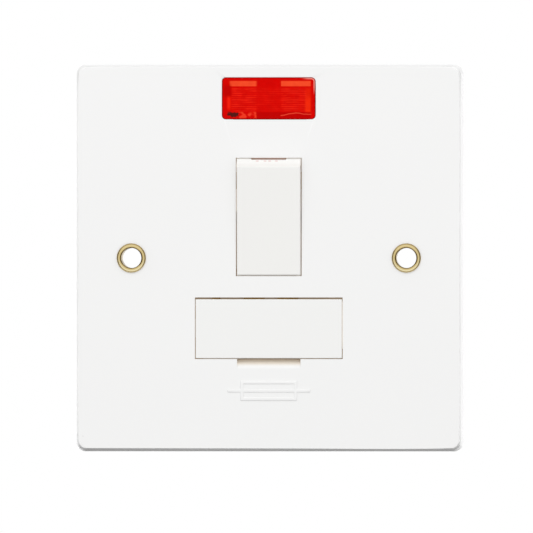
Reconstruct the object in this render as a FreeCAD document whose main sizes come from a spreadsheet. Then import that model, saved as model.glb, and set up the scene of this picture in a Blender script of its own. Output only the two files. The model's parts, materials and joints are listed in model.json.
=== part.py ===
import FreeCAD, Part
import math
import os
import re
import Sketcher
from FreeCAD import Placement, Rotation, Vector

# A switched and fused connection unit on a square moulded plate, fixed over a box in the wall.
# +X is to the right and +Z is up. The front faces -Y. The origin is midway between the two
# fixing holes, in the plane of the wall, where the rear rim of the plate ends.

SIZES = {
    # Front plate
    "plate_side": 85,           # width and height at the rear rim
    "plate_depth": 9,           # wall to front face
    "plate_draft": 3,           # lean of the four sides, degrees
    "plate_corner": 2,          # radius of the four corners
    "band_wide": 1.2,           # bevel round the front, across the face
    "band_deep": 0.35,          # bevel round the front, down the side
    "front_wall": 2.6,          # thickness behind the front face
    "side_wall": 2.4,           # thickness of the four sides at the rim
    "fixing_centres": 60.3,     # standard distance between the fixing screws
    "locating_wall": 1.1,       # low wall on the back that seats the housing
    "locating_tall": 3.5,
    "locating_gap": 0.2,        # clearance between that wall and the housing
    "boss_rear": -0.8,          # wall plane to the rear of the plate's screw bosses
    "boss_radius": 2.4,
    "pilot_radius": 1.15,
    "keeper_half": 1.2,         # half of the height of the trunnions' keepers
    "rib_rear": -2,
    "rib_thick": 1.4,
    "rib_across": 17,           # middle to the two ribs at the bottom
    "lead_near": 8.6,           # the two sides of the gap for the lamp leads
    "lead_far": 14,
    # Rocker and its window
    "rocker_centre": 9,         # height of the rocker's middle above the fixing holes
    "window_wide": 14.4,
    "window_tall": 25.9,
    "rocker_gap": 0.2,          # clearance between rocker and window
    "pivot_depth": 8,           # front face of the plate to the rocker's pivot
    "rocker_face": 9.2,         # pivot to the rocker's front face
    "rocker_skirt": 5,          # pivot to the rear edge of the rocker's cap
    "rocker_skin": 1.8,         # thickness behind the rocker's face
    "hollow_across": 5.2,       # half of the hollow behind it
    "hollow_tall": 11.4,
    "cheek_near": 5.4,          # middle to the cheeks that carry the trunnions
    "cheek_half": 3,
    "throw_half": 5,            # half of the rocker's travel, degrees
    "trunnion_radius": 1.4,
    "trunnion_reach": 8.7,      # middle of the rocker to the end of a trunnion
    "trunnion_play": 0.05,
    "socket_rear": 2.4,         # pivot to the rear of the plungers' sockets
    "plunger_radius": 1.5,
    "plunger_bore": 1.1,        # radius of its hollow
    "plunger_nose": 6.9,        # pivot to the tip of the nose
    "spring_radius": 0.85,
    "spring_wire": 0.15,        # radius of the wire
    "spring_pitch": 1.1,
    "spring_long": 8.6,
    "spring_foot": 6,           # pivot to its seat
    "flash_wide": 7,            # recess for the coloured flash in the rocker's top end
    "flash_floor": 12.45,       # pivot to the floor of that recess
    "flash_rear": 5.9,          # pivot to its rear wall
    "flash_front": 7.13,        # pivot to its front wall
    # Fuse carrier and its window
    "carrier_centre": -15.4,
    "carrier_wide": 32.4,
    "carrier_tall": 13.5,
    "carrier_gap": 0.15,
    "carrier_sag": 0.25,        # extra clearance above the carrier
    "carrier_skin": 2.4,        # thickness of the carrier's face
    "carrier_proud": 0.05,      # carrier's face in front of the plate's
    "arm_rear": 8.7,            # wall plane to the rear of the carrier's arms
    "notch_wide": 13.9,         # rounded lip under the carrier for a blade or a nail
    "notch_tall": 2.2,
    "notch_deep": 2.1,
    "notch_radius": 2.6,
    # Neon window
    "lens_centre": 35,
    "lens_wide": 20.5,
    "lens_tall": 9.2,
    "lens_corner": 0.9,
    "lens_skin": 1.35,
    "lens_wall": 1.1,
    "lens_fit": 0.05,           # clearance round the lens, and its face in front of the plate's
    "lens_rear": 5.4,           # wall plane forward to the lens's rear rim
    "lens_tab": 1.2,            # reach of the tabs that hold the lens
    "tab_half": 3,
    "prism_wide": 5.4,
    "prism_pitch": 0.7,
    "prism_high": 0.3,
    "lamp_radius": 2.5,
    "lamp_depth": 5.1,          # front face of the plate to the lamp's axis
    # Fixing bushes and earth strap
    "bush_bore": 4.4,
    "bush_rim": 6.4,
    "bush_neck": 5.8,
    "bush_shoulder": 7.6,
    "strap_thick": 0.6,
    "strap_low": -8.3,
    "strap_high": -6,
    "strap_ring": 4.5,          # radius round each bush
    "leg_near": 14.5,           # middle to the two sides of each bent leg
    "leg_far": 17.7,
    # Housing
    "house_half": 24.4,         # half of its width
    "house_low": -33.2,
    "house_high": 28.6,
    "house_rear": 12,           # wall plane to the housing's rear face
    "tower_rear": 15.5,         # wall plane to the rear of the screw towers
    "chamber_half": 7.6,        # half of the width of the switch chamber
    "chamber_reach": 14.75,     # half of its height
    "wall_thick": 1.4,
    "strip_front": 9,           # wall plane to the front of the brass strips
    "strip_thick": 0.8,
    "pole_across": 3.6,         # middle to each switch pole
    "pole_floor": 2.5,          # wall plane to the floor between the poles and the rocker
    "pole_high": 20,
    "partition_half": 0.5,      # half of the wall between the poles
    "way_low": 15,              # the ways of the supply strips
    "way_high": 19.2,
    "fuse_room": 17.1,          # half of the width of the fuse chamber
    "fuse_drop": 7,             # fuse's axis to the foot of its chamber
    "entry_play": 0.5,          # clearance round a cable
    "shelf_thick": 1.1,
    "shelf_half": 8,
    "saddle_across": 4,
    "saddle_half": 0.6,
    "saddle_reach": 3.6,
    # Terminals
    "terminal_across": 18.6,
    "supply_level": 23.2,
    "load_level": -27.8,
    "earth_level": 8.3,
    "block_wide": 7.4,
    "block_long": 8,
    "block_deep": 7,
    "cable_bore": 4.2,
    "bore_depth": 5.4,          # wall plane to the axis of the cable bores
    # Fuse
    "fuse_long": 25.4,
    "fuse_radius": 3.175,
    "fuse_depth": 1.8,          # wall plane to the fuse's axis
    "clip_across": 10,          # middle to each fuse clip
    "arm_near": 13,             # middle to the inner side of the carrier's arms
    "fuse_wall": 0.3,           # thickness of the caps round the tube
    # Access to the clamp screws
    "screw_head": 5.6,          # diameter of a clamp screw's head
    "head_play": 0.3,
    # Series resistor of the lamp
    "resistor_across": -10.2,
    "resistor_foot": 6,
    "resistor_long": 6.2,
    # Switch levers
    "lever_depth": 6.8,         # wall plane to the fulcrum edge
    "lever_thick": 0.8,
    "lever_half": 7,            # half of the lever's travel, degrees
    "lever_wide": 4.2,
    "lever_low": 6.6,           # fulcrum to the lower end
    "lever_high": 9,            # fulcrum to the upper end
    "button_level": 7.5,
    "button_radius": 1.3,
}

doc = FreeCAD.newDocument("fused_spur_unit")
sheet = doc.addObject("Spreadsheet::Sheet", "Sizes")
for row, (alias, number) in enumerate(SIZES.items(), start=1):
    sheet.set(f"A{row}", alias)
    sheet.set(f"B{row}", str(number))
    sheet.setAlias(f"B{row}", alias)
doc.recompute()

# Lengths that several pieces share, as expressions of the cells
CAVITY = "(plate_depth - front_wall)"
PIVOT = "(pivot_depth - plate_depth)"
REACH = "(sqrt(window_tall ^ 2 / 4 + pivot_depth ^ 2) - rocker_gap)"
FLOOR = "(strip_front + strip_thick)"
CARRIER_TOP = "(carrier_centre + carrier_tall / 2)"
CARRIER_FOOT = "(carrier_centre - carrier_tall / 2)"
HALF_CENTRES = "(fixing_centres / 2)"
LAMP_AXIS = "(lamp_depth - plate_depth)"

# Across and level of the three screws that hold the housing to the plate
HOUSING_SCREWS = [("-20.9", "-1.8"), ("20.9", "-1.8"), ("0", "-27.8")]
# Side and level of the six terminals
TERMINAL_SPOTS = [(side, level) for level in ("supply_level", "earth_level", "load_level")
                  for side in (-1, 1)]
PRISM_ROWS = 8
PRISM_STARTS = (-8.6, 3.2)
RIB_LEVELS = (-22, 20)
# Radius and height of the head, radius and length of the shank
SCREW_SHAPES = {"clamp": ("screw_head / 2", 2.2, 1.45, 2.2), "housing": (2.4, 1.8, 1.1, 6.4)}


def value(text):
    """The number that an expression of the sheet's names gives."""
    return float(sheet.evalExpression(str(text)))


def bound(text):
    """The same expression, with its names pointing at the sheet's cells."""
    return re.sub(r"[a-z]+(?:_[a-z]+)+", lambda word: "Sizes." + word.group(0), str(text))


def bind(thing, target, text):
    thing.setExpression(target, bound(text))


def new_body(label):
    body = doc.addObject("PartDesign::Body", label)
    body.Label = label
    return body


def sketch_on(body, role, offset):
    """A sketch parallel to one of the body's origin planes."""
    plane = next(item for item in body.Origin.OriginFeatures if item.Role == role)
    sketch = body.newObject("Sketcher::SketchObject", "outline")
    sketch.AttachmentSupport = [(plane, "")]
    sketch.MapMode = "FlatFace"
    bind(sketch, "AttachmentOffset.Base.z", offset)
    return sketch


def front_sketch(body, depth):
    """Seen from the front, x right and y up, at Y = depth. Features run towards the front."""
    return sketch_on(body, "XZ_Plane", f"-({depth})")


def side_sketch(body, across):
    """Seen from the right, x to the rear and y up, at X = across. Features run to the right."""
    return sketch_on(body, "YZ_Plane", across)


def top_sketch(body, height):
    """Seen from above, x right and y to the rear, at Z = height. Features run upwards."""
    return sketch_on(body, "XY_Plane", height)


def fix_point(sketch, geometry, point, x, y):
    """Holds a point of the sketch at two expressions."""
    for kind, text in (("DistanceX", x), ("DistanceY", y)):
        number = sketch.addConstraint(
            Sketcher.Constraint(kind, -1, 1, geometry, point, value(text)))
        bind(sketch, f"Constraints[{number}]", text)


def draw_loop(sketch, corners):
    """A closed outline of straight lines through the corners."""
    first = sketch.GeometryCount
    spots = [Vector(value(x), value(y), 0) for x, y in corners]
    for here, there in zip(spots, spots[1:] + spots[:1]):
        sketch.addGeometry(Part.LineSegment(here, there), False)
    for step, (x, y) in enumerate(corners):
        before = first + (step - 1) % len(corners)
        sketch.addConstraint(Sketcher.Constraint("Coincident", before, 2, first + step, 1))
        fix_point(sketch, first + step, 1, x, y)


def draw_box(sketch, left, right, low, high):
    draw_loop(sketch, [(left, low), (right, low), (right, high), (left, high)])


def draw_circle(sketch, x, y, radius):
    spot = Vector(value(x), value(y), 0)
    circle = sketch.addGeometry(Part.Circle(spot, Vector(0, 0, 1), value(radius)), False)
    number = sketch.addConstraint(Sketcher.Constraint("Radius", circle, value(radius)))
    bind(sketch, f"Constraints[{number}]", radius)
    fix_point(sketch, circle, 3, x, y)


def draw_round_box(sketch, left, right, low, high, radius):
    """A box whose four corners are arcs."""
    sides = [value(text) for text in (left, right, low, high)]
    size = value(radius)
    centres = [(f"{right} - {radius}", f"{high} - {radius}", 0),
               (f"{left} + {radius}", f"{high} - {radius}", 90),
               (f"{left} + {radius}", f"{low} + {radius}", 180),
               (f"{right} - {radius}", f"{low} + {radius}", 270)]
    ends = [((sides[1] - size, sides[3]), (sides[0] + size, sides[3])),
            ((sides[0], sides[3] - size), (sides[0], sides[2] + size)),
            ((sides[0] + size, sides[2]), (sides[1] - size, sides[2])),
            ((sides[1], sides[2] + size), (sides[1], sides[3] - size))]
    first = sketch.GeometryCount
    for (x, y, start), (here, there) in zip(centres, ends):
        whole = Part.Circle(Vector(value(x), value(y), 0), Vector(0, 0, 1), size)
        turned = math.radians(start)
        sketch.addGeometry(Part.ArcOfCircle(whole, turned, turned + math.pi / 2), False)
        sketch.addGeometry(Part.LineSegment(Vector(*here, 0), Vector(*there, 0)), False)
    for step, (x, y, start) in enumerate(centres):
        arc = first + 2 * step
        following = first + (2 * step + 2) % 8
        sketch.addConstraint(Sketcher.Constraint("Tangent", arc, 2, arc + 1, 1))
        sketch.addConstraint(Sketcher.Constraint("Tangent", arc + 1, 2, following, 1))
        number = sketch.addConstraint(Sketcher.Constraint("Radius", arc, size))
        bind(sketch, f"Constraints[{number}]", radius)
        fix_point(sketch, arc, 3, x, y)


def draw_lip(sketch, front, low, rear, high, radius):
    """The space in front of a rounded lip that curves back from (front, low) to (rear, high)."""
    start = Vector(value(rear), value(high), 0)
    end = Vector(value(front), value(low), 0)
    chord = end - start
    reach = math.sqrt(value(radius) ** 2 - chord.Length ** 2 / 4)
    centre = (start + end) / 2 + Vector(-chord.y, chord.x, 0).normalize() * reach
    angles = [math.atan2(spot.y - centre.y, spot.x - centre.x) for spot in (start, end)]
    whole = Part.Circle(centre, Vector(0, 0, 1), value(radius))
    arc = sketch.addGeometry(Part.ArcOfCircle(whole, *angles), False)
    number = sketch.addConstraint(Sketcher.Constraint("Radius", arc, value(radius)))
    bind(sketch, f"Constraints[{number}]", radius)
    clear = f"({front} - 0.5)"
    corners = [(rear, high), (clear, high), (clear, low), (front, low)]
    spots = [Vector(value(x), value(y), 0) for x, y in corners]
    before, end_of_before = arc, 1
    for (x, y), here, there in zip(corners, spots, spots[1:]):
        line = sketch.addGeometry(Part.LineSegment(here, there), False)
        sketch.addConstraint(
            Sketcher.Constraint("Coincident", before, end_of_before, line, 1))
        fix_point(sketch, line, 1, x, y)
        before, end_of_before = line, 2
    sketch.addConstraint(Sketcher.Constraint("Coincident", before, 2, arc, 2))
    fix_point(sketch, before, 2, front, low)


def pad(sketch, length, taper=None):
    """Adds material from the sketch along its normal."""
    body = sketch.getParentGeoFeatureGroup()
    feature = body.newObject("PartDesign::Pad", "pad")
    feature.Profile = sketch
    bind(feature, "Length", length)
    if taper is not None:
        bind(feature, "TaperAngle", taper)
    return feature


def cut(sketch, length):
    """Takes material away from the sketch along its normal."""
    body = sketch.getParentGeoFeatureGroup()
    feature = body.newObject("PartDesign::Pocket", "cut")
    feature.Profile = sketch
    feature.Reversed = True
    bind(feature, "Length", length)
    return feature


def turn(sketch):
    """Spins the sketch round its upright axis."""
    body = sketch.getParentGeoFeatureGroup()
    feature = body.newObject("PartDesign::Revolution", "turned")
    feature.Profile = sketch
    feature.ReferenceAxis = (sketch, ["V_Axis"])
    feature.Angle = 360
    return feature


def edges_where(feature, test):
    """Names of the edges whose box passes a test."""
    doc.recompute()
    shape = feature.Shape
    return [f"Edge{number}" for number, edge in enumerate(shape.Edges, start=1)
            if test(edge.BoundBox)]


def soften(feature, test, radius):
    """Rounds the edges that pass the test."""
    names = edges_where(feature, test)
    rounded = feature.getParentGeoFeatureGroup().newObject("PartDesign::Fillet", "soft_edges")
    rounded.Base = (feature, names)
    bind(rounded, "Radius", radius)
    return rounded


def bevel(feature, test, size, second=None):
    """Bevels the edges that pass the test, by one size or by two."""
    names = edges_where(feature, test)
    cham = feature.getParentGeoFeatureGroup().newObject("PartDesign::Chamfer", "bevelled_edges")
    cham.Base = (feature, names)
    bind(cham, "Size", size)
    if second is not None:
        cham.ChamferType = "Two distances"
        bind(cham, "Size2", second)
    return cham


def near(one, other):
    return abs(one - other) < 1e-4


def place(body, x, y, z, angle=None):
    """Puts a piece in its place, turned about X where it has an angle."""
    body.Placement = Placement(Vector(0, 0, 0), Rotation(Vector(1, 0, 0), value(angle or 0)))
    for axis, text in zip("xyz", (x, y, z)):
        bind(body, f"Placement.Base.{axis}", text)
    if angle is not None:
        bind(body, "Placement.Rotation.Angle", angle)


def make_faceplate():
    """The moulded front plate: a shallow tray with three windows and a rounded lip."""
    body = new_body("faceplate")
    half = "(plate_side / 2)"
    outline = front_sketch(body, 0)
    draw_box(outline, f"-{half}", half, f"-{half}", half)
    block = pad(outline, "plate_depth", "-plate_draft")

    def corner(box):
        return box.YLength > value("plate_depth") - 0.01

    def front_rim(box):
        return box.YLength < 1e-4 and near(box.YMin, -value("plate_depth"))

    rounded = soften(block, corner, "plate_corner")
    bevel(rounded, front_rim, "band_wide", "band_deep")

    inner = "(plate_side / 2 - side_wall)"
    hollow = front_sketch(body, 0)
    draw_round_box(hollow, f"-{inner}", inner, f"-{inner}", inner, "plate_corner")
    cut(hollow, CAVITY)

    # The rocker window's ends follow a circle round the rocker's pivot, so the gap stays even
    window = side_sketch(body, "-window_wide / 2")
    draw_circle(window, PIVOT, "rocker_centre", f"{REACH} + rocker_gap")
    cut(window, "window_wide")

    window = front_sketch(body, f"-{CAVITY}")
    draw_box(window, "-carrier_wide / 2", "carrier_wide / 2", CARRIER_FOOT, CARRIER_TOP)
    draw_round_box(window, "-(lens_wide / 2 + lens_fit)", "(lens_wide / 2 + lens_fit)",
                   "(lens_centre - lens_tall / 2 - lens_fit)",
                   "(lens_centre + lens_tall / 2 + lens_fit)", "lens_corner")
    for side in ("-", ""):
        draw_circle(window, side + HALF_CENTRES, 0, "bush_neck / 2 + 0.05")
    cut(window, "front_wall")

    # Under the carrier the plate's edge is rounded back, so that a blade gets behind the drawer
    lip = side_sketch(body, "-notch_wide / 2")
    draw_lip(lip, "-plate_depth", f"{CARRIER_FOOT} - notch_tall", "notch_deep - plate_depth",
             f"{CARRIER_FOOT} + 0.05", "notch_radius")
    cut(lip, "notch_wide")

    # A low wall on the back seats the housing, with gaps for the strap and the lamp leads
    gap = "(house_half + locating_gap)"
    outer = f"({gap} + locating_wall)"
    wall = front_sketch(body, f"-{CAVITY} + locating_tall")
    draw_box(wall, f"-{outer}", outer, "house_low - locating_gap - locating_wall",
             "house_high + locating_gap + locating_wall")
    draw_box(wall, f"-{gap}", gap, "house_low - locating_gap", "house_high + locating_gap")
    pad(wall, "locating_tall")
    slots = front_sketch(body, f"-{CAVITY} + locating_tall")
    draw_box(slots, "-lead_far", "-lead_near", "house_high", "house_high + 0.3 + locating_wall")
    for side in (-1, 1):
        ends = sorted((side * (value(gap) - 0.2), side * (value(outer) + 0.2)))
        draw_box(slots, ends[0], ends[1], "strap_low - 0.6", "strap_high + 7.5")
    cut(slots, "locating_tall")

    # Bosses for the housing screws, keepers for the trunnions and stiffening ribs
    bosses = front_sketch(body, "boss_rear")
    for x, z in HOUSING_SCREWS:
        draw_circle(bosses, x, z, "boss_radius")
    pad(bosses, f"{CAVITY} + boss_rear")
    keeper_rear = f"({PIVOT} - trunnion_radius - 0.15)"
    keepers = front_sketch(body, keeper_rear)
    ribs = front_sketch(body, "rib_rear")
    for side in (-1, 1):
        ends = sorted((side * (value("chamber_half") + 0.15), side * value("trunnion_reach")))
        draw_box(keepers, *ends, "rocker_centre - keeper_half", "rocker_centre + keeper_half")
        for level in RIB_LEVELS:
            ends = sorted((side * (value(outer) - 0.1), side * (value(inner) + 0.1)))
            draw_box(ribs, *ends, f"{level} - rib_thick / 2", f"{level} + rib_thick / 2")
        draw_box(ribs, f"{side} * rib_across - rib_thick / 2",
                 f"{side} * rib_across + rib_thick / 2", f"-{inner} - 0.1",
                 "house_low - locating_wall")
    pad(keepers, f"{CAVITY} + {keeper_rear}")
    pad(ribs, f"{CAVITY} + rib_rear")
    pilots = front_sketch(body, "boss_rear")
    for x, z in HOUSING_SCREWS:
        draw_circle(pilots, x, z, "pilot_radius")
    cut(pilots, f"{CAVITY} + boss_rear")
    return body


def make_bush(name, side):
    """A brass bush through a fixing hole: shoulder behind the strap, rim rolled at the front."""
    body = new_body(name)
    profile = sketch_on(body, "XZ_Plane", 0)
    seat = f"({CAVITY} - strap_thick)"
    crown = "(plate_depth + (bush_rim - bush_bore) / 4)"
    draw_loop(profile, [("bush_bore / 2", 0), ("bush_shoulder / 2", 0),
                        ("bush_shoulder / 2", seat), ("bush_neck / 2", seat),
                        ("bush_neck / 2", "plate_depth"), ("bush_rim / 2", "plate_depth"),
                        ("bush_rim / 2", crown), ("bush_bore / 2", crown)])
    turned = turn(profile)
    soften(turned, lambda box: near(box.ZMin, value(crown)) and near(box.ZLength, 0),
           "(bush_rim - bush_bore) / 4 - 0.03")
    place(body, f"{side}{HALF_CENTRES}", 0, 0, 90)
    return body


def make_earth_strap():
    """One flat stamping that joins both bushes, with a leg bent back along each earth block."""
    body = new_body("earth_strap")
    rear = f"(-{CAVITY} + strap_thick)"
    bar = front_sketch(body, rear)
    draw_loop(bar, [("-house_half - 0.6", "strap_low"), ("house_half + 0.6", "strap_low"),
                    (f"{HALF_CENTRES} + 2.6", -3), (f"{HALF_CENTRES} - 3.4", -1.5),
                    ("house_half - 0.8", "strap_high"), ("0.8 - house_half", "strap_high"),
                    (f"3.4 - {HALF_CENTRES}", -1.5), (f"-{HALF_CENTRES} - 2.6", -3)])
    pad(bar, "strap_thick")
    rings = front_sketch(body, rear)
    tabs = front_sketch(body, rear)
    legs = front_sketch(body, "strip_front - 1.5")
    holes = front_sketch(body, rear)
    foot = "(earth_level - block_wide / 2)"
    for side in (-1, 1):
        left, right = sorted((side * value("leg_near"), side * value("leg_far")))
        draw_circle(rings, f"{side} * {HALF_CENTRES}", 0, "strap_ring")
        draw_circle(holes, f"{side} * {HALF_CENTRES}", 0, "bush_neck / 2")
        draw_box(tabs, left, right, "strap_high - 0.5", foot)
        draw_box(legs, left, right, f"{foot} - strap_thick", foot)
    pad(rings, "strap_thick")
    pad(tabs, "strap_thick")
    pad(legs, f"strip_front - 1.5 + {CAVITY} - strap_thick")
    cut(holes, "strap_thick")
    return body


def make_lens():
    """The red lens: a thin cap with fine prisms inside, held behind the plate by two tabs."""
    body = new_body("neon_lens")
    crown = "(plate_depth + lens_fit)"
    outer = front_sketch(body, "-lens_rear")
    draw_round_box(outer, "-(lens_wide / 2)", "(lens_wide / 2)", "(lens_centre - lens_tall / 2)",
                   "(lens_centre + lens_tall / 2)", "lens_corner")
    cap = pad(outer, f"{crown} - lens_rear")
    soften(cap, lambda box: near(box.YMin, -value(crown)) and box.YLength < 1e-4, 0.2)
    tabs = front_sketch(body, "-lens_rear")
    draw_box(tabs, "-lens_wide / 2 - lens_tab", "lens_wide / 2 + lens_tab",
             "lens_centre - tab_half", "lens_centre + tab_half")
    pad(tabs, f"{CAVITY} - lens_rear")
    inner = front_sketch(body, "-lens_rear")
    draw_box(inner, "-(lens_wide / 2 - lens_wall)", "lens_wide / 2 - lens_wall",
             "lens_centre - lens_tall / 2 + lens_wall", "lens_centre + lens_tall / 2 - lens_wall")
    cut(inner, "plate_depth - lens_skin - lens_rear")
    # Rows of small prisms on the inner face, in the left and right thirds
    ledge = "(lens_skin - plate_depth)"
    for left in PRISM_STARTS:
        rows = side_sketch(body, left)
        for step in range(PRISM_ROWS):
            low = f"(lens_centre + {step - PRISM_ROWS / 2} * prism_pitch)"
            draw_loop(rows, [(ledge, low), (f"{ledge} - prism_high", f"{low} + prism_pitch / 2"),
                             (ledge, f"{low} + 0.9 * prism_pitch")])
        cut(rows, "prism_wide")
    return body


def make_lamp():
    """The sealed glass neon lamp, lying across behind the lens."""
    body = new_body("neon_lamp")
    profile = sketch_on(body, "XZ_Plane", 0)
    draw_loop(profile, [(0, -7), (1.7, -7), (1.9, -5.4), ("lamp_radius", -4.6),
                        ("lamp_radius", 6), (1.4, 7.4), (0, 7.9)])
    turn(profile)
    # The lamp's own axis is upright in its sketch and lies along X in the unit
    body.Placement = Placement(Vector(0, 0, 0), Rotation(Vector(0, 1, 0), 90))
    bind(body, "Placement.Base.y", LAMP_AXIS)
    bind(body, "Placement.Base.z", "lens_centre")
    return body


def make_resistor():
    """The small series resistor in the neutral lead."""
    body = new_body("lamp_resistor")
    profile = sketch_on(body, "XZ_Plane", 0)
    top = "resistor_long"
    draw_loop(profile, [(0, 0), (0.95, 0), (1.1, 0.4), (1.1, 1.1), (0.9, 1.5),
                        (0.9, f"{top} - 1.5"), (1.1, f"{top} - 1.1"), (1.1, f"{top} - 0.4"),
                        (0.95, top), (0, top)])
    turn(profile)
    place(body, "resistor_across", LAMP_AXIS, "resistor_foot")
    return body


def make_lead(name, route, bend, radius):
    """A thin insulated lead: straight runs joined by tangent arcs."""
    spots = [Vector(*(value(text) for text in spot)) for spot in route]
    edges, here = [], spots[0]
    for before, corner, after in zip(spots, spots[1:], spots[2:]):
        back = (before - corner).normalize()
        ahead = (after - corner).normalize()
        start, end = corner + back * bend, corner + ahead * bend
        middle = corner + (back + ahead) * bend * (1 - 0.5 ** 0.5)
        edges += [Part.LineSegment(here, start).toShape(), Part.Arc(start, middle, end).toShape()]
        here = end
    edges.append(Part.LineSegment(here, spots[-1]).toShape())
    heading = (spots[1] - spots[0]).normalize()
    ring = Part.Wire([Part.Circle(spots[0], heading, radius).toShape()])
    lead = doc.addObject("Part::Feature", name)
    lead.Label = name
    lead.Shape = Part.Wire(edges).makePipeShell([ring], True, True)
    lead.Placement = Placement()
    return lead


def make_housing():
    """The moulded rear housing: switch chamber, fuse chamber, terminal pockets and towers."""
    body = new_body("rear_housing")
    block = front_sketch(body, "house_rear")
    draw_round_box(block, "-house_half", "house_half", "house_low", "house_high", "wall_thick")
    pad(block, f"house_rear + {CAVITY}")
    towers = front_sketch(body, "tower_rear")
    for side, level in TERMINAL_SPOTS:
        across = side * value("terminal_across")
        half = (value("house_half") - value("terminal_across"))
        middle = value(level)
        draw_round_box(towers, across - half, across + half,
                       max(middle - half, value("house_low")),
                       min(middle + half, value("house_high")), 1.2)
    pad(towers, "tower_rear - house_rear")
    # A shelf with two saddles holds the lamp behind its lens
    lamp_rear = f"({LAMP_AXIS} + lamp_radius)"
    shelf = front_sketch(body, f"{lamp_rear} + shelf_thick")
    draw_box(shelf, "-shelf_half", "shelf_half", "house_high - 1", "lens_centre + saddle_reach")
    pad(shelf, "shelf_thick")
    saddles = front_sketch(body, f"{lamp_rear} + shelf_thick")
    for across in ("-saddle_across", "saddle_across"):
        draw_box(saddles, f"{across} - saddle_half", f"{across} + saddle_half",
                 "lens_centre - saddle_reach", "lens_centre + saddle_reach")
    pad(saddles, "shelf_thick + lamp_radius")
    trough = side_sketch(body, "-saddle_across - 1")
    draw_circle(trough, LAMP_AXIS, "lens_centre", "lamp_radius")
    cut(trough, "2 * saddle_across + 2")

    # Switch chamber: open in front, two poles behind with a partition between them
    front = f"(-{CAVITY})"
    high = "(rocker_centre + chamber_reach)"
    low = "(rocker_centre - chamber_reach)"
    carve(body, "pole_floor", front, [("-chamber_half", "chamber_half", low, high)])
    carve(body, FLOOR, front, [("-chamber_half", "-partition_half", low, "pole_high"),
                               ("partition_half", "chamber_half", low, "pole_high")])
    # Ways for the supply strips, then the pockets of the terminals
    top = "(supply_level + block_long / 2 + 0.2)"
    foot = "(load_level - block_long / 2 - 0.2)"
    near_side = "(terminal_across - block_wide / 2 - 0.3)"
    far_side = "(terminal_across + block_wide / 2 + 0.3)"
    chamber_foot = "(carrier_centre - fuse_drop)"
    carve(body, FLOOR, front, [
        (f"-{near_side} - 1", "-chamber_half + 1", "way_low", "way_high"),
        ("chamber_half - 1", f"{near_side} + 1", "way_low", "way_high")])
    carve(body, FLOOR, front, [
        (f"-{far_side}", f"-{near_side}", "way_low", top), (near_side, far_side, "way_low", top),
        (f"-{far_side}", f"-{near_side}", foot, "load_level + block_long / 2 + 0.2"),
        (near_side, far_side, foot, "load_level + block_long / 2 + 0.2")])
    earth_half = "(block_long / 2 + 0.2)"
    earth_low = "(earth_level - block_wide / 2 - strap_thick)"
    earth_high = "(earth_level + block_wide / 2 + 0.3)"
    carve(body, "strip_front", front, [
        (f"-terminal_across - {earth_half}", f"{earth_half} - terminal_across", earth_low,
         earth_high),
        (f"terminal_across - {earth_half}", f"terminal_across + {earth_half}", earth_low,
         earth_high)])
    # Fuse chamber and the ways through its walls for the strips
    carve(body, FLOOR, front, [("-fuse_room", "fuse_room", chamber_foot, CARRIER_TOP)])
    carve(body, FLOOR, "(strip_front - 1.5)", [
        (1.2, 6.2, f"{CARRIER_TOP} - 0.5", f"{low} + 0.5"),
        (-6.2, -1.2, f"{CARRIER_TOP} - 0.5", f"{low} + 0.5"),
        (-17, f"-{near_side}", -24, f"{chamber_foot} + 0.5"),
        (near_side, 17, -24, f"{chamber_foot} + 0.5"),
        (-13.2, -11, f"{CARRIER_TOP} - 0.5", -5.2),
        (-9.2, -7, -4.8, -2.2)])
    # Corridor for the lamp leads, open at the top
    carve(body, 0.5, front, [(-13.4, -9, -5.5, "house_high + 1")])
    carve(body, FLOOR, front, [(-13.4, -9, -5.5, -1.5)])
    # Seat for the earth strap in the front rim, with room for its bent legs
    carve(body, f"(strap_thick - {CAVITY})", front, [
        ("-house_half - 1", "house_half + 1", "strap_low", "strap_high")])
    carve(body, f"(strap_thick - {CAVITY})", front, [
        ("-leg_far - 0.2", "0.2 - leg_near", "strap_high - 0.5", f"{earth_low} + 0.5"),
        ("leg_near - 0.2", "leg_far + 0.2", "strap_high - 0.5", f"{earth_low} + 0.5"),
        ("-house_half - 1", "1.1 - house_half", "strap_high - 0.5", "strap_high + 1.4"),
        ("house_half - 1.1", "house_half + 1", "strap_high - 0.5", "strap_high + 1.4")])

    # Bearings for the trunnions, open to the front
    seat = "(trunnion_radius + trunnion_play)"
    bearing = side_sketch(body, "-trunnion_reach - 0.2")
    draw_circle(bearing, PIVOT, "rocker_centre", seat)
    cut(bearing, "2 * trunnion_reach + 0.4")
    throat = side_sketch(body, "-trunnion_reach - 0.2")
    draw_box(throat, front, PIVOT, f"rocker_centre - {seat}", f"rocker_centre + {seat}")
    cut(throat, "2 * trunnion_reach + 0.4")

    # Cable entries through the top, the bottom and the two sides
    entry = "(cable_bore / 2 + entry_play)"
    for height in ("house_high - 1.8", "house_low - 0.2"):
        ways = top_sketch(body, height)
        for side in ("-", ""):
            draw_circle(ways, f"{side}terminal_across", "bore_depth", entry)
        cut(ways, 2)
    for across in ("-house_half - 0.2", "house_half - 2.3"):
        ways = side_sketch(body, across)
        draw_circle(ways, "bore_depth", "earth_level", entry)
        cut(ways, 2.5)

    # Screwdriver access to the clamp screws and wells for the housing screws
    access = front_sketch(body, "tower_rear")
    for side, level in TERMINAL_SPOTS:
        draw_circle(access, f"{side} * terminal_across", level, "screw_head / 2 + head_play")
    cut(access, "tower_rear - strip_front")
    wells = front_sketch(body, "house_rear")
    shanks = front_sketch(body, "house_rear")
    bosses = front_sketch(body, -0.6)
    for x, z in HOUSING_SCREWS:
        draw_circle(wells, x, z, 2.75)
        draw_circle(shanks, x, z, 1.5)
        draw_circle(bosses, x, z, 2.5)
    cut(wells, "house_rear - 1")
    cut(shanks, f"house_rear + {CAVITY}")
    cut(bosses, f"{CAVITY} - 0.6")
    return body


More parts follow.
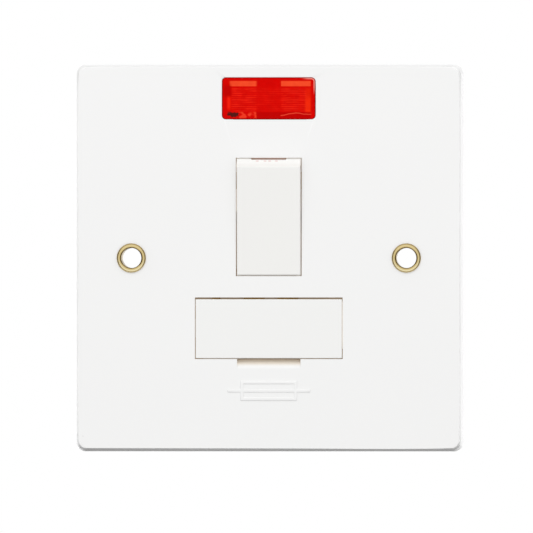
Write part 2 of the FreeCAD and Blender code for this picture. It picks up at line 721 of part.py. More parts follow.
def carve(body, rear, front, boxes):
    """Cuts box-shaped spaces from one depth to another, nearer the front."""
    hollow = front_sketch(body, rear)
    for box in boxes:
        draw_box(hollow, *box)
    cut(hollow, f"({rear}) - ({front})")


def make_rocker():
    """The rocker, drawn square to its pivot and then tipped to the ON position."""
    body = new_body("rocker")
    half = "(window_wide / 2 - rocker_gap)"
    disc = side_sketch(body, f"-{half}")
    draw_circle(disc, 0, 0, REACH)
    pad(disc, f"2 * {half}")
    shape = side_sketch(body, f"-{half}")
    beyond = f"({REACH} + 1)"
    draw_box(shape, f"-{beyond}", "-rocker_face", f"-{beyond}", beyond)
    draw_box(shape, "-rocker_skirt", beyond, f"-{beyond}", beyond)
    face = cut(shape, f"2 * {half}")
    soften(face, lambda box: near(box.YMax, -value("rocker_face")) and box.YLength < 1e-4, 0.35)
    inside = front_sketch(body, "-rocker_skirt")
    draw_box(inside, "-hollow_across", "hollow_across", "-hollow_tall", "hollow_tall")
    cut(inside, "rocker_face - rocker_skirt - rocker_skin")
    # Two sockets for the plungers, a web between them, cheeks and the trunnions
    sockets = front_sketch(body, "socket_rear")
    bores = front_sketch(body, "socket_rear")
    for side in ("-", ""):
        draw_circle(sockets, f"{side}pole_across", 0, "plunger_radius + 0.8")
        draw_circle(bores, f"{side}pole_across", 0, "plunger_radius + 0.05")
    pad(sockets, "socket_rear + rocker_face - rocker_skin")
    web = front_sketch(body, 1)
    draw_box(web, "-cheek_near", "cheek_near", -0.8, 0.8)
    pad(web, "1 + rocker_face - rocker_skin")
    cheeks = front_sketch(body, 1.8)
    draw_box(cheeks, f"-{half}", "-cheek_near", "-cheek_half", "cheek_half")
    draw_box(cheeks, "cheek_near", half, "-cheek_half", "cheek_half")
    pad(cheeks, "1.8 + rocker_skirt + 0.5")
    trunnions = side_sketch(body, "-trunnion_reach")
    draw_circle(trunnions, 0, 0, "trunnion_radius")
    pad(trunnions, "2 * trunnion_reach")
    cut(bores, 8.6)
    # Shallow recess with leaning ends in the top end, where the coloured flash goes
    flash = front_sketch(body, "-flash_rear")
    draw_loop(flash, [("-flash_wide / 2", "flash_floor"), ("flash_wide / 2", "flash_floor"),
                      ("flash_wide / 2 + 1", f"{REACH} + 0.1"),
                      ("-flash_wide / 2 - 1", f"{REACH} + 0.1")])
    cut(flash, "flash_front - flash_rear")
    place(body, 0, PIVOT, "rocker_centre", "throw_half")
    return body


def make_plunger(name, side):
    """A hollow plunger with a round nose that presses on its lever."""
    body = new_body(name)
    profile = sketch_on(body, "XZ_Plane", 0)
    draw_loop(profile, [("plunger_bore", -1.5), ("plunger_radius", -1.5),
                        ("plunger_radius", "plunger_nose"), (0, "plunger_nose"), (0, 3.5),
                        ("plunger_bore", 3.5)])
    turned = turn(profile)
    soften(turned, lambda box: near(box.ZMin, value("plunger_nose")) and box.ZLength < 1e-4,
           "plunger_radius - 0.05")
    place(body, f"{side}pole_across", PIVOT, "rocker_centre", "throw_half - 90")
    return body


def make_spring(name, side):
    """The plunger's spring, in the bottom of its socket and up inside the plunger."""
    body = new_body(name)
    wire = sketch_on(body, "XZ_Plane", 0)
    # Eight sides stand for the round wire
    angles = [45 * step + 22.5 for step in range(8)]
    draw_loop(wire, [(f"spring_radius + spring_wire * cos({angle})",
                      f"spring_wire * sin({angle}) - spring_foot") for angle in angles])
    coil = body.newObject("PartDesign::AdditiveHelix", "coil")
    coil.Profile = wire
    coil.ReferenceAxis = (wire, ["V_Axis"])
    coil.Mode = 0
    bind(coil, "Pitch", "spring_pitch")
    bind(coil, "Height", "spring_long")
    place(body, f"{side}pole_across", PIVOT, "rocker_centre", "throw_half - 90")
    return body


def make_lever(name, side):
    """A see-saw contact lever, rocking on its fulcrum, with a contact button at the top."""
    body = new_body(name)
    blade = side_sketch(body, "-lever_wide / 2")
    draw_loop(blade, [("-lever_thick", "-lever_low"), (0, "-lever_low"), (0, -0.6), (-0.25, 0),
                      (0, 0.6), (0, "lever_high"), ("-lever_thick", "lever_high"),
                      ("-lever_thick", 0.9), ("-lever_thick - 0.05", 0), ("-lever_thick", -0.9)])
    bar = pad(blade, "lever_wide")
    soften(bar, lambda box: box.YLength > value("lever_thick") - 0.01
           and near(box.XLength, 0) and near(box.ZLength, 0), 1.4)
    button = front_sketch(body, 0.7)
    draw_circle(button, 0, "button_level", "button_radius")
    pad(button, 0.9)
    place(body, f"{side}pole_across", "lever_depth", "rocker_centre", "-lever_half")
    return body


def make_strip(name, corners, mirrored, features):
    """A flat brass stamping on the housing's floor."""
    body = new_body(name)
    side = "-" if mirrored else ""
    outline = front_sketch(body, FLOOR)
    draw_loop(outline, [(f"{side}({x})", z) for x, z in corners])
    pad(outline, "strip_thick")
    for kind, x, z in features:
        spot = front_sketch(body, FLOOR if kind == "hole" else "strip_front")
        if kind == "fulcrum":
            draw_box(spot, f"{side}({x}) - 1.3", f"{side}({x}) + 1.3", f"{z} - 0.25",
                     f"{z} + 0.25")
            pad(spot, "strip_front - lever_depth - 0.03")
        else:
            draw_circle(spot, f"{side}({x})", z, 2 if kind == "hole" else 1.4)
            if kind == "hole":
                cut(spot, "strip_thick")
            else:
                pad(spot, 0.3)


def make_strips():
    """Supply strips to the fixed contacts, switched strips from the levers, and the load strip."""
    inner = "terminal_across - block_wide / 2"
    outer = "terminal_across + block_wide / 2"
    supply = [(1.4, 14), ("6", 14), ("6", 15.2), (outer, 15.2),
              (outer, "supply_level + block_long / 2"), (inner, "supply_level + block_long / 2"),
              (inner, 19), (1.4, 19)]
    marks = [("contact", "pole_across", 16.5), ("hole", "terminal_across", "supply_level")]
    make_strip("supply_line_strip", supply, False, marks)
    make_strip("supply_neutral_strip", supply, True, marks)
    fulcrum = ("fulcrum", "pole_across", "rocker_centre")
    line = [(1.4, -13.5), (6.6, -13.5), (6.6, -18.8), (13.5, -18.8), (13.5, -10.5), (6, -10.5),
            (6, 12), (1.4, 12)]
    make_strip("switched_line_strip", line, False, [fulcrum])
    block_top = "load_level + block_long / 2"
    block_foot = "load_level - block_long / 2"
    neutral = [(-6, -22.2), (inner, -22.2), (inner, block_foot), (outer, block_foot),
               (outer, block_top), (16.8, block_top), (16.8, -20), (-1.4, -20), (-1.4, 12),
               (-6, 12), (-6, -2.4), (-10.8, -2.4), (-10.8, -4.6), (-6, -4.6)]
    make_strip("switched_neutral_strip", neutral, False,
               [("fulcrum", "-pole_across", "rocker_centre"),
                ("hole", "terminal_across", "load_level")])
    load = [(6.6, -18.8), (inner, -18.8), (inner, block_foot), (outer, block_foot),
            (outer, block_top), (16.8, block_top), (16.8, -10.5), (13, -10.5), (13, -2.6),
            (11.2, -2.6), (11.2, -10.5), (6.6, -10.5)]
    make_strip("load_line_strip", load, True, [("hole", "terminal_across", "load_level")])


def make_terminal(name, side, level, lies_across):
    """A brass block with a cable bore and a clamp screw's hole that meets it."""
    body = new_body(name)
    across, tall = "block_wide", "block_long"
    if lies_across:
        across, tall = tall, across
    block = front_sketch(body, "strip_front")
    draw_box(block, f"-{across} / 2", f"{across} / 2", f"-{tall} / 2", f"{tall} / 2")
    solid = pad(block, "block_deep")
    bevel(solid, lambda box: box.YLength < 1e-4, 0.4)
    if lies_across:
        bore = side_sketch(body, f"-{across} / 2 - 1")
        draw_circle(bore, "bore_depth", 0, "cable_bore / 2")
        cut(bore, f"{across} + 2")
    else:
        bore = top_sketch(body, f"-{tall} / 2 - 1")
        draw_circle(bore, 0, "bore_depth", "cable_bore / 2")
        cut(bore, f"{tall} + 2")
    thread = front_sketch(body, "strip_front")
    draw_circle(thread, 0, 0, 1.5)
    cut(thread, "strip_front - bore_depth")
    place(body, f"{side}terminal_across", 0, level)
    return body


def make_screw(name, shape, x, y, z):
    """A slotted screw with a cheese head, pointing to the front."""
    head, head_tall, shank, shank_long = SCREW_SHAPES[shape]
    body = new_body(name)
    profile = sketch_on(body, "XZ_Plane", 0)
    draw_loop(profile, [(0, -shank_long), (shank - 0.3, -shank_long), (shank, 0.4 - shank_long),
                        (shank, 0), (head, 0), (head, head_tall), (0, head_tall)])
    turned = turn(profile)
    bevel(turned, lambda box: near(box.ZMin, head_tall) and box.ZLength < 1e-4, 0.35)
    slot = top_sketch(body, head_tall - 1)
    draw_box(slot, f"-({head}) - 0.5", f"{head} + 0.5", -0.4, 0.4)
    cut(slot, 1.5)
    place(body, x, y, z, -90)
    return body


def make_clip(name, side):
    """A U-shaped spring clip that grips one end cap of the fuse."""
    body = new_body(name)
    profile = side_sketch(body, -2.4)
    grip = "(fuse_radius + 0.05)"
    back = "(strip_front - 0.6)"
    draw_loop(profile, [("strip_front", f"-{grip} - 0.6"), ("strip_front", f"{grip} + 0.6"),
                        (-0.6, f"{grip} + 0.55"), (-1.9, f"{grip} + 1.2"), (-2.2, f"{grip} + 0.75"),
                        (-0.8, grip), (back, grip), (back, f"-{grip}"), (-0.8, f"-{grip}"),
                        (-2.2, f"-{grip} - 0.75"), (-1.9, f"-{grip} - 1.2"),
                        (-0.6, f"-{grip} - 0.55")])
    pad(profile, 4.8)
    place(body, f"{side}clip_across", 0, "carrier_centre")
    return body


def make_carrier():
    """The drawer that carries the fuse: face, saddle in the middle and two guide arms."""
    body = new_body("fuse_carrier")
    half = "(carrier_wide / 2 - carrier_gap)"
    face_low = f"({CARRIER_FOOT} + carrier_gap)"
    face_high = f"({CARRIER_TOP} - carrier_gap - carrier_sag)"
    crown = "(plate_depth + carrier_proud)"
    inner_face = f"(carrier_skin - {crown})"
    face = front_sketch(body, inner_face)
    draw_box(face, f"-{half}", half, face_low, face_high)
    plate = pad(face, "carrier_skin")
    soften(plate, lambda box: near(box.YMax, -value(crown)) and box.YLength < 1e-4, 0.2)
    saddle = front_sketch(body, 4.2)
    draw_box(saddle, -5.4, 5.4, "carrier_centre - 4.6", "carrier_centre + 4.6")
    pad(saddle, f"4.2 - {inner_face}")
    arms = front_sketch(body, "arm_rear")
    catches = front_sketch(body, "arm_rear")
    for side in (-1, 1):
        draw_box(arms, *sorted((side * value("arm_near"), side * 14.6)), "carrier_centre - 3",
                 "carrier_centre + 3")
        draw_box(catches, *sorted((side * 14.4, side * 16.8)), "carrier_centre - 2",
                 "carrier_centre + 2")
    pad(arms, f"arm_rear - {inner_face}")
    pad(catches, 1)
    trough = side_sketch(body, -6)
    draw_circle(trough, "fuse_depth", "carrier_centre", "fuse_radius - 0.2")
    cut(trough, 12)
    return body


def make_fuse():
    """A cartridge fuse: a ceramic tube closed by two brass caps."""
    tube = doc.addObject("Part::Cylinder", "fuse_body")
    tube.Label = "fuse_body"
    bind(tube, "Radius", "fuse_radius - fuse_wall")
    bind(tube, "Height", "fuse_long - 0.8")
    lay_across(tube, "0.4 - fuse_long / 2")
    for side, name in ((1, "fuse_cap_right"), (-1, "fuse_cap_left")):
        body = new_body(name)
        profile = sketch_on(body, "XZ_Plane", 0)
        bore = "fuse_radius - fuse_wall"
        draw_loop(profile, [(0, 0), (bore, 0), (bore, -5.2), ("fuse_radius", -5.2),
                            ("fuse_radius", 0.4), (0, 0.4)])
        soften(turn(profile), lambda box: near(box.ZMin, 0.4) and box.ZLength < 1e-4, 0.35)
        lay_across(body, f"{side} * (fuse_long / 2 - 0.4)", side)


def lay_across(piece, x, side=1):
    """Turns a piece whose axis is upright so that it lies along X, at the fuse's place."""
    piece.Placement = Placement(Vector(0, 0, 0), Rotation(Vector(0, 1, 0), 90 * side))
    bind(piece, "Placement.Base.x", x)
    bind(piece, "Placement.Base.y", "fuse_depth")
    bind(piece, "Placement.Base.z", "carrier_centre")


def make_all():
    make_faceplate()
    make_bush("fixing_bush_left", "-")
    make_bush("fixing_bush_right", "")
    make_earth_strap()
    make_lens()
    make_lamp()
    make_resistor()
    upper, lower = "lens_centre + 0.7", "lens_centre - 0.7"
    make_lead("line_lead", [(-7, LAMP_AXIS, upper), (-12.1, LAMP_AXIS, upper),
                            (-12.1, LAMP_AXIS, -3.6), (-12.1, "strip_front", -3.6)], 2, 0.45)
    across = "resistor_across"
    make_lead("lamp_lead_upper", [(-7, LAMP_AXIS, lower), (across, LAMP_AXIS, lower),
                                  (across, LAMP_AXIS, "resistor_foot + resistor_long")],
              1.5, 0.45)
    make_lead("lamp_lead_lower", [(across, LAMP_AXIS, "resistor_foot"),
                                  (across, LAMP_AXIS, -3.5), (across, "strip_front", -3.5)],
              2, 0.45)
    make_housing()
    make_rocker()
    make_strips()
    for pole, side in (("line", ""), ("neutral", "-")):
        make_plunger(f"{pole}_plunger", side)
        make_spring(f"{pole}_plunger_spring", side)
        make_lever(f"{pole}_contact_lever", side)
    spots = [("supply_line", "", "supply_level", False),
             ("supply_neutral", "-", "supply_level", False),
             ("load_line", "-", "load_level", False), ("load_neutral", "", "load_level", False),
             ("earth_left", "-", "earth_level", True), ("earth_right", "", "earth_level", True)]
    for name, side, level, lies_across in spots:
        make_terminal(f"{name}_terminal", side, level, lies_across)
        rest = "strip_front" if lies_across else FLOOR
        make_screw(f"{name}_screw", "clamp", f"{side}terminal_across", f"{rest} + 0.9", level)
    for number, (x, z) in enumerate(HOUSING_SCREWS, start=1):
        make_screw(f"housing_screw_{number}", "housing", x, 1, z)
    make_clip("fuse_clip_right", "")
    make_clip("fuse_clip_left", "-")
    make_carrier()
    make_fuse()
    doc.recompute()


def check_features():
    """Stops if a feature failed, or if a pad added nothing or a cut took nothing."""
    for item in doc.Objects:
        if "Invalid" in item.State or "Error" in item.State:
            raise RuntimeError(f"{item.Name} failed")
    for body in doc.findObjects("PartDesign::Body"):
        before = 0
        for feature in body.Group:
            if feature.TypeId in ("PartDesign::Pad", "PartDesign::Pocket"):
                grew = feature.Shape.Volume - before
                if grew * (1 if feature.TypeId.endswith("Pad") else -1) <= 0:
                    raise RuntimeError(f"{feature.Name} in {body.Label} changed nothing")
            if feature.TypeId.startswith("PartDesign"):
                before = feature.Shape.Volume


def write_parts():
    """Writes each sub-part's solid to its own file."""
    os.makedirs("parts", exist_ok=True)
    kinds = ("PartDesign::Body", "Part::Feature", "Part::Cylinder")
    for item in doc.Objects:
        if item.TypeId in kinds:
            if item.Shape.isNull() or not item.Shape.isValid():
                raise RuntimeError(f"{item.Label} has no valid shape")
            item.Shape.exportStep(f"parts/{item.Label}.step")
            print(item.Label, len(item.Shape.Solids), round(item.Shape.Volume, 2))


make_all()
check_features()
write_parts()
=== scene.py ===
# %% [markdown]
# # A fused spur unit, dressed for its portrait
# The unit is a white moulded wall plate with a rocker switch, a fuse drawer, a red neon window
# and two brass bushes. Behind the plate sits a housing full of stamped brass. The measured
# solids are already built, so this lesson gives each one the surface that a moulding press, a
# stamping tool or a lathe leaves on it, and gives the mouldings and the brass blocks soft edges.

# %% The frame
import json
import math
import bmesh
import bpy
from mathutils import Matrix, Vector


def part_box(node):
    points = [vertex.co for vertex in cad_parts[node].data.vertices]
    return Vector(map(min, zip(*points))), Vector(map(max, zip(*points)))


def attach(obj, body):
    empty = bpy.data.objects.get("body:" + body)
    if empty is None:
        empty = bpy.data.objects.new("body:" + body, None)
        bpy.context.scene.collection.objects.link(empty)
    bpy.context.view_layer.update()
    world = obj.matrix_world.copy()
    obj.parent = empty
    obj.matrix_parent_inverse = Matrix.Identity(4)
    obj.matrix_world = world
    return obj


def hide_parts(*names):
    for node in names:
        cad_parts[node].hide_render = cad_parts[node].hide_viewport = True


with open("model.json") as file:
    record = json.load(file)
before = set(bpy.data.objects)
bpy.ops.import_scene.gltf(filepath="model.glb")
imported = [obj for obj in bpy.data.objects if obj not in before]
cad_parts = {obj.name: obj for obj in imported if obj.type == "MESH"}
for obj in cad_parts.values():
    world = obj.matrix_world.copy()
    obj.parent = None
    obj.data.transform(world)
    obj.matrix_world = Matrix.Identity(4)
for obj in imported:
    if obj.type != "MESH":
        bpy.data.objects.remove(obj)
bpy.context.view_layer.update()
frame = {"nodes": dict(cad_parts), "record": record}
nodes = frame["nodes"]
body_of_node = {
    name: body
    for body, names in frame["record"]["behaviour"]["bodies"].items()
    for name in names
}
slot_of_node = {row["node"]: row["material_slot"] for row in frame["record"]["subparts"]}
MM = 0.001
print("pieces in the frame:", len(nodes))


# %% [markdown]
# ## Shader sums in plain Python
# A procedural material is a network of small sums. Built by hand in the editor it soon turns
# into a web of wires. Here a small class holds one socket and answers to + - * / and
# comparisons, so a mask reads like the formula that it is.

# %% A socket that can be used in sums
class Wire:
    """One socket of a network of nodes, ready for sums."""

    def __init__(self, network, socket):
        self.network = network
        self.socket = socket

    def sum(self, operation, other=0.0, swapped=False):
        pair = (other, self) if swapped else (self, other)
        return self.network.node("ShaderNodeMath", {"operation": operation},
                                 {0: pair[0], 1: pair[1]})

    def __add__(self, other):
        return self.sum("ADD", other)

    def __sub__(self, other):
        return self.sum("SUBTRACT", other)

    def __mul__(self, other):
        return self.sum("MULTIPLY", other)

    def __truediv__(self, other):
        return self.sum("DIVIDE", other)

    def __radd__(self, other):
        return self.sum("ADD", other, True)

    def __rsub__(self, other):
        return self.sum("SUBTRACT", other, True)

    def __rmul__(self, other):
        return self.sum("MULTIPLY", other, True)

    def __gt__(self, other):
        return self.sum("GREATER_THAN", other)

    def __lt__(self, other):
        return self.sum("LESS_THAN", other)

    def ramp(self, kind, start, end):
        return self.network.node("ShaderNodeMapRange", {"interpolation_type": kind},
                                 {"Value": self, "From Min": start, "From Max": end})

    def rise(self, start, end):
        """Goes softly from 0 to 1 between two values, or falls where end is the smaller."""
        return self.ramp("SMOOTHSTEP", start, end)

    def climb(self, ends):
        """The same along a straight slope."""
        return self.ramp("LINEAR", *ends)

    def between(self, low, high, soft=0.15):
        """1 from low to high with soft ends, 0 elsewhere."""
        return self.rise(low - soft, low + soft) * self.rise(high + soft, high - soft)

    def size(self):
        return self.sum("ABSOLUTE")

    def above_zero(self):
        return self.sum("MAXIMUM")

    def root(self):
        return self.sum("SQRT")

    def wave(self):
        return self.sum("SINE")


def skills(kind):
    """The names of what a class can do."""
    return ", ".join(name.strip("_") for name, made in vars(kind).items() if callable(made))


print("a wire can do:", skills(Wire))


# %% [markdown]
# The sums need a place to live. A network adds nodes one by one, through a single method that
# takes a node's kind, its settings and what goes into its sockets. A finish is a network that
# ends in one shader. It also knows the point on the piece, in the frame that all pieces share,
# so that a mask can be laid out in real millimetres.

# %% Networks and finishes
class Network:
    """The nodes of a material or of the world, added one by one."""

    def __init__(self, tree):
        self.tree = tree

    def fill(self, socket, value):
        if isinstance(value, Wire):
            self.tree.links.new(value.socket, socket)
        else:
            socket.default_value = value

    def node(self, kind, settings=None, sockets=None, out=0):
        """Adds a node: its settings first, then the values or wires of its sockets."""
        made = self.tree.nodes.new(kind)
        for label, value in (settings or {}).items():
            setattr(made, label, value)
        for label, value in (sockets or {}).items():
            self.fill(made.inputs[label], value)
        return None if out is None else Wire(self, made.outputs[out])

    def split(self, vector):
        """The three numbers of a vector."""
        first = self.node("ShaderNodeSeparateXYZ", None, {0: vector})
        return [Wire(self, socket) for socket in first.socket.node.outputs]


class Finish(Network):
    """A material being built, with one Principled shader at its end."""

    def __init__(self, name, colour, roughness, **plain):
        self.material = bpy.data.materials.new(name)
        self.material.use_nodes = True
        super().__init__(self.material.node_tree)
        self.shader = self.tree.nodes["Principled BSDF"]
        self.set("Base Color", (*colour, 1.0))
        self.set("Roughness", roughness)
        for label, number in plain.items():
            self.set(label.replace("_", " "), number)

    def set(self, label, value):
        """Puts a value or a wire on one of the shader's sockets."""
        self.fill(self.shader.inputs[label], value)

    def wired(self, label):
        """The wire that feeds one of the shader's sockets already."""
        return Wire(self, self.shader.inputs[label].links[0].from_socket)

    def place(self):
        """The point on the piece, in metres of the shared frame."""
        return self.node("ShaderNodeTexCoord", out="Object")

    def axes(self):
        """The same point as three separate numbers, in millimetres."""
        return [number / MM for number in self.split(self.place())]

    def noise(self, grain, detail=2.0, stretch=None):
        """Soft noise whose lumps are about grain millimetres across."""
        point = self.place()
        if stretch:
            point = self.node("ShaderNodeMapping", None, {"Vector": point, "Scale": stretch})
        return self.node("ShaderNodeTexNoise", None,
                         {"Vector": point, "Scale": 1 / (grain * MM), "Detail": detail})

    def mix(self, factor, first, second):
        """One colour turning into another."""
        made = self.node("ShaderNodeMix", {"data_type": "RGBA"}, {"Factor": factor})
        inner = made.socket.node
        colours = [socket for socket in inner.inputs if socket.type == "RGBA"]
        for socket, colour in zip(colours, (first, second)):
            self.fill(socket, colour if isinstance(colour, Wire) else (*colour, 1.0))
        result = next(socket for socket in inner.outputs if socket.type == "RGBA")
        return Wire(self, result)

    def bump(self, height, depth):
        """Raises the surface by height times depth millimetres."""
        self.set("Normal", self.node("ShaderNodeBump", None, {
            "Height": height, "Distance": depth * MM, "Strength": 1.0}))


def dimmed(colour, share):
    return tuple(channel * share for channel in colour)


def count_nodes(*finishes):
    for finish in finishes:
        print(finish.material.name, "has", len(finish.tree.nodes), "nodes")


print("a finish can do:", skills(Network) + ",", skills(Finish))


# %% [markdown]
# ## White mouldings
# The plate, the rocker and the drawer are pressed from urea powder in a polished steel mould.
# The surface is smooth with a soft gloss, a very faint orange peel, and here and there a speck
# of dust. A flat white would look like paper, so the tone drifts a little over the face.
#
# Light soaks through the plastic, so the walls of a narrow gap glow warm and are never black.
# Real soaking light is slow to render, so a mask finds the walls by their place and gives them
# a warmer tone and a faint glow of their own.

# %% Plate, rocker and drawer
NOTHING = (0, 0, 0)
GAP_GLOW = (0.26, 0.21, 0.16)
SHADED_LIP = (0.42, 0.38, 0.33)
DUST = (0.42, 0.40, 0.37)
WARM_LOSS = (0.07, 0.15, 0.26)  # how much red, green and blue a gap's wall loses
# The gaps in millimetres: x to the right, z up, y into the wall. The plate's face is at y = -9
GAPS_REACH_X, GAPS_REACH_Z, GAPS_REAR = 38, 41, -6.5
# A pair is where a mask starts and where it is full, and a third number is how soft its ends are
WALLS = (-8.95, -8.4)
LIP_ACROSS, LIP_UP = (-7.2, 7.2, 0.05), (-24.6, -22.1, 0.05)
LIP_DARKENS, LIP_CLEARS = (-9.0, -8.2), (-8.3, -7.5)
BELOW_DRAWER_TOP = (-9.6, -10.4)
# Dust: the specks' spacing in millimetres, their radius as a share of it, and how rare they are
DUST_SPACING, DUST_RADIUS, DUST_RARITY = 9, 0.016, 0.56


def dusted(finish, tone, amount):
    """The tone with a few specks of dust, in patches."""
    specks = finish.node("ShaderNodeTexVoronoi", None,
                         {"Vector": finish.place(), "Scale": 1 / (DUST_SPACING * MM)}, "Distance")
    rare = finish.noise(14, 0) > DUST_RARITY
    return finish.mix((specks < DUST_RADIUS) * rare * amount, tone, DUST)


def moulded_white(name, colour, roughness=0.3, dust=0.0, warmth=1.0, glow=0.2, drawer_glow=0.0):
    """A glossy white. The walls of its gaps are warmer and glow, more so beside the drawer."""
    finish = Finish(name, colour, roughness, Coat_Weight=0.15, Coat_Roughness=0.12,
                    Emission_Strength=1.0)
    tone = finish.mix(finish.noise(30, 1), dimmed(colour, 0.985), colour)
    x, y, z = finish.axes()
    inward = (x.size() < GAPS_REACH_X) * (z.size() < GAPS_REACH_Z) * (y < GAPS_REAR)
    deep = y.rise(*WALLS) * inward
    warm = tuple(c * (1 - loss * warmth) for c, loss in zip(colour, WARM_LOSS))
    tone = finish.mix(deep, tone, warm)
    # The rounded lip under the drawer lies in the drawer's own shade
    lip = x.between(*LIP_ACROSS) * z.between(*LIP_UP)
    shade = y.rise(*LIP_DARKENS) * 0.45 - y.rise(*LIP_CLEARS) * 0.25
    tone = finish.mix(lip * inward * shade, tone, SHADED_LIP)
    gap = deep * (1.0 - lip * 0.75) * (glow + z.rise(*BELOW_DRAWER_TOP) * drawer_glow)
    finish.set("Emission Color", finish.mix(gap, NOTHING, GAP_GLOW))
    finish.set("Base Color", dusted(finish, tone, dust) if dust else tone)
    finish.set("Roughness", roughness + (finish.noise(6, 2) - 0.5) * 0.06)
    finish.bump(finish.noise(0.8, 2), 0.004)
    return finish


plate_white = moulded_white("moulded_plate_white", (0.90, 0.90, 0.895), dust=0.3, glow=0.35,
                            drawer_glow=0.35)
carrier_white = moulded_white("moulded_drawer_white", (0.885, 0.885, 0.872), 0.34, warmth=0.3)
count_nodes(plate_white, carrier_white)


# %% [markdown]
# The drawer has a flange at its rear, which is what the eye meets at the bottom of the gaps
# beside it. In the photograph the right gap ends pale and the left one dark, and a faint glow
# on the flange follows that.

# %% The drawer's flange in the gaps
PALE_DEPTH = (0.58, 0.53, 0.47)
DARK_DEPTH = (0.09, 0.08, 0.06)
FLANGE_FRONT = 7.0
DRAWER_SIDE = (15.4, 15.6)


def light_flange(finish):
    x, y, z = finish.axes()
    strip = (y > FLANGE_FRONT) * x.size().rise(*DRAWER_SIDE)
    tone = finish.mix(x > 0.0, DARK_DEPTH, PALE_DEPTH)
    finish.set("Emission Color", finish.mix(strip, finish.wired("Emission Color"), tone))


light_flange(carrier_white)
count_nodes(carrier_white)


# %% [markdown]
# The rocker has a touch of red in the shallow recess at its top end. It is stamped on with a
# pad, so it keeps to the recess and leaves a few pale dots on the edge in front of it.

# %% The rocker's white and its red flash
STAMPED_RED = (0.62, 0.05, 0.04)
EDGE_SHADE_WHITE = (0.80, 0.79, 0.76)
FOOT_SHADE = (0.50, 0.46, 0.40)
RECESS_HALF, RECESS_UP, RECESS_DEEP = 3.6, (20.6, 21.1, 0.03), (-9.3, -7.9, 0.1)
DOTS_X, DOT, DOTS_UP, DOTS_DEEPEST = (-2.5, -0.8, 0.2, 1.7), (0.45, 0.15), (21.1, 21.4, 0.1), -9.2
# Where painted shade darkens a band along the rocker's top edge, in millimetres up
EDGE_SHADE_FROM, EDGE_SHADE_TO = (19.75, 20.1), (20.95, 20.25)
FOOT_DEEP, FOOT_DOWN, FOOT_ACROSS = (-9.05, -8.7), (-3.5, -3.75), (7.0, 5.5)


def rocker_finish():
    finish = moulded_white("moulded_rocker_white", (0.895, 0.89, 0.868), glow=0.1)
    x, y, z = finish.axes()
    inside = (x.size() < RECESS_HALF) * z.between(*RECESS_UP) * y.between(*RECESS_DEEP)
    dots = 0.0
    for spot in DOTS_X:
        dots = (x - spot).size().rise(*DOT) + dots
    dots = dots * z.between(*DOTS_UP) * (y < DOTS_DEEPEST) * 0.28
    # Painted shade: a band along the top edge is a little darker
    painted_edge_shade = z.rise(*EDGE_SHADE_FROM) * z.rise(*EDGE_SHADE_TO) * 0.5
    tone = finish.mix(painted_edge_shade, finish.wired("Base Color"), EDGE_SHADE_WHITE)
    # The lower end of the pressed foot lies in the shade of the window
    foot = y.rise(*FOOT_DEEP) * z.rise(*FOOT_DOWN) * x.size().rise(*FOOT_ACROSS)
    tone = finish.mix(foot * 0.55, tone, FOOT_SHADE)
    finish.set("Base Color", finish.mix(inside + dots, tone, STAMPED_RED))
    return finish


rocker_white = rocker_finish()
count_nodes(rocker_white)


# %% [markdown]
# The housing behind the plate is a tougher, plainer moulding. Its mould is spark-eroded, which
# gives a fine even grain and no gloss. Its front closes the gaps round the rocker and the drawer,
# so the light that soaks in is put on it there. The plungers and the wire sleeves are plain
# plastic with a grain of the same kind.

# %% Housing, plungers and wire sleeves
HOUSING_GLOW = (0.26, 0.20, 0.15)
BEHIND_GAPS_HALF, BEHIND_GAPS_UP, BEHIND_GAPS_REAR = 24.2, (-33, 28.4, 0.05), 9.9
BY_ROCKER = (-7.9, -7.35, 0.05), (8.6, 20.8, 0.8)
BY_DRAWER = (15.5, 16.05, 0.05), (-20.2, -9.6, 0.4)


def patch(x, z, across, up):
    """A mask over a rectangle with soft ends."""
    return x.between(*across) * z.between(*up)


def grained_plastic(name, colour, roughness, grain=0.12, depth=0.006):
    finish = Finish(name, colour, roughness)
    finish.set("Base Color", finish.mix(finish.noise(9, 3), dimmed(colour, 0.93), colour))
    finish.set("Roughness", roughness + (finish.noise(2, 2) - 0.5) * 0.1)
    finish.bump(finish.noise(grain, 2), depth)
    return finish


def light_housing(finish):
    """Adds the light that soaks in, palest at the rocker's left and the drawer's right."""
    finish.set("Emission Strength", 1.0)
    x, y, z = finish.axes()
    inner = (x.size() < BEHIND_GAPS_HALF) * z.between(*BEHIND_GAPS_UP) * (y < BEHIND_GAPS_REAR)
    glow = finish.mix(inner * 0.4, NOTHING, HOUSING_GLOW)
    pale = inner * (patch(x, z, *BY_ROCKER) * 0.7 + patch(x, z, *BY_DRAWER))
    finish.set("Emission Color", finish.mix(pale, glow, PALE_DEPTH))


housing_white = grained_plastic("housing_grain", (0.74, 0.735, 0.70), 0.55)
light_housing(housing_white)
nylon = grained_plastic("plunger_nylon", (0.82, 0.80, 0.72), 0.42, 0.3, 0.003)
sleeve_red = grained_plastic("lead_sleeve_red", (0.55, 0.05, 0.04), 0.5, 0.25, 0.004)
count_nodes(housing_white, nylon, sleeve_red)


# %% [markdown]
# ## Brass and steel
# Sheet brass shows the long fine lines of the rolling mill. Turned brass shows rings round its
# axis, and drawn bar shows lines along it. All three are the same metal with the noise
# stretched a different way. A little tarnish gathers in broad soft patches.

# %% Metals
def brushed_metal(name, colour, stretch, roughness=0.3, tarnish=0.25):
    finish = Finish(name, colour, roughness, Metallic=1.0)
    lines = finish.noise(1.2, 3, stretch=stretch)
    patches = finish.noise(4, 3)
    finish.set("Base Color", finish.mix(patches * tarnish + lines * 0.15, colour,
                                        dimmed(colour, 0.62)))
    finish.set("Roughness", roughness + (lines - 0.5) * 0.25 + patches * 0.08)
    finish.bump(lines, 0.002)
    return finish


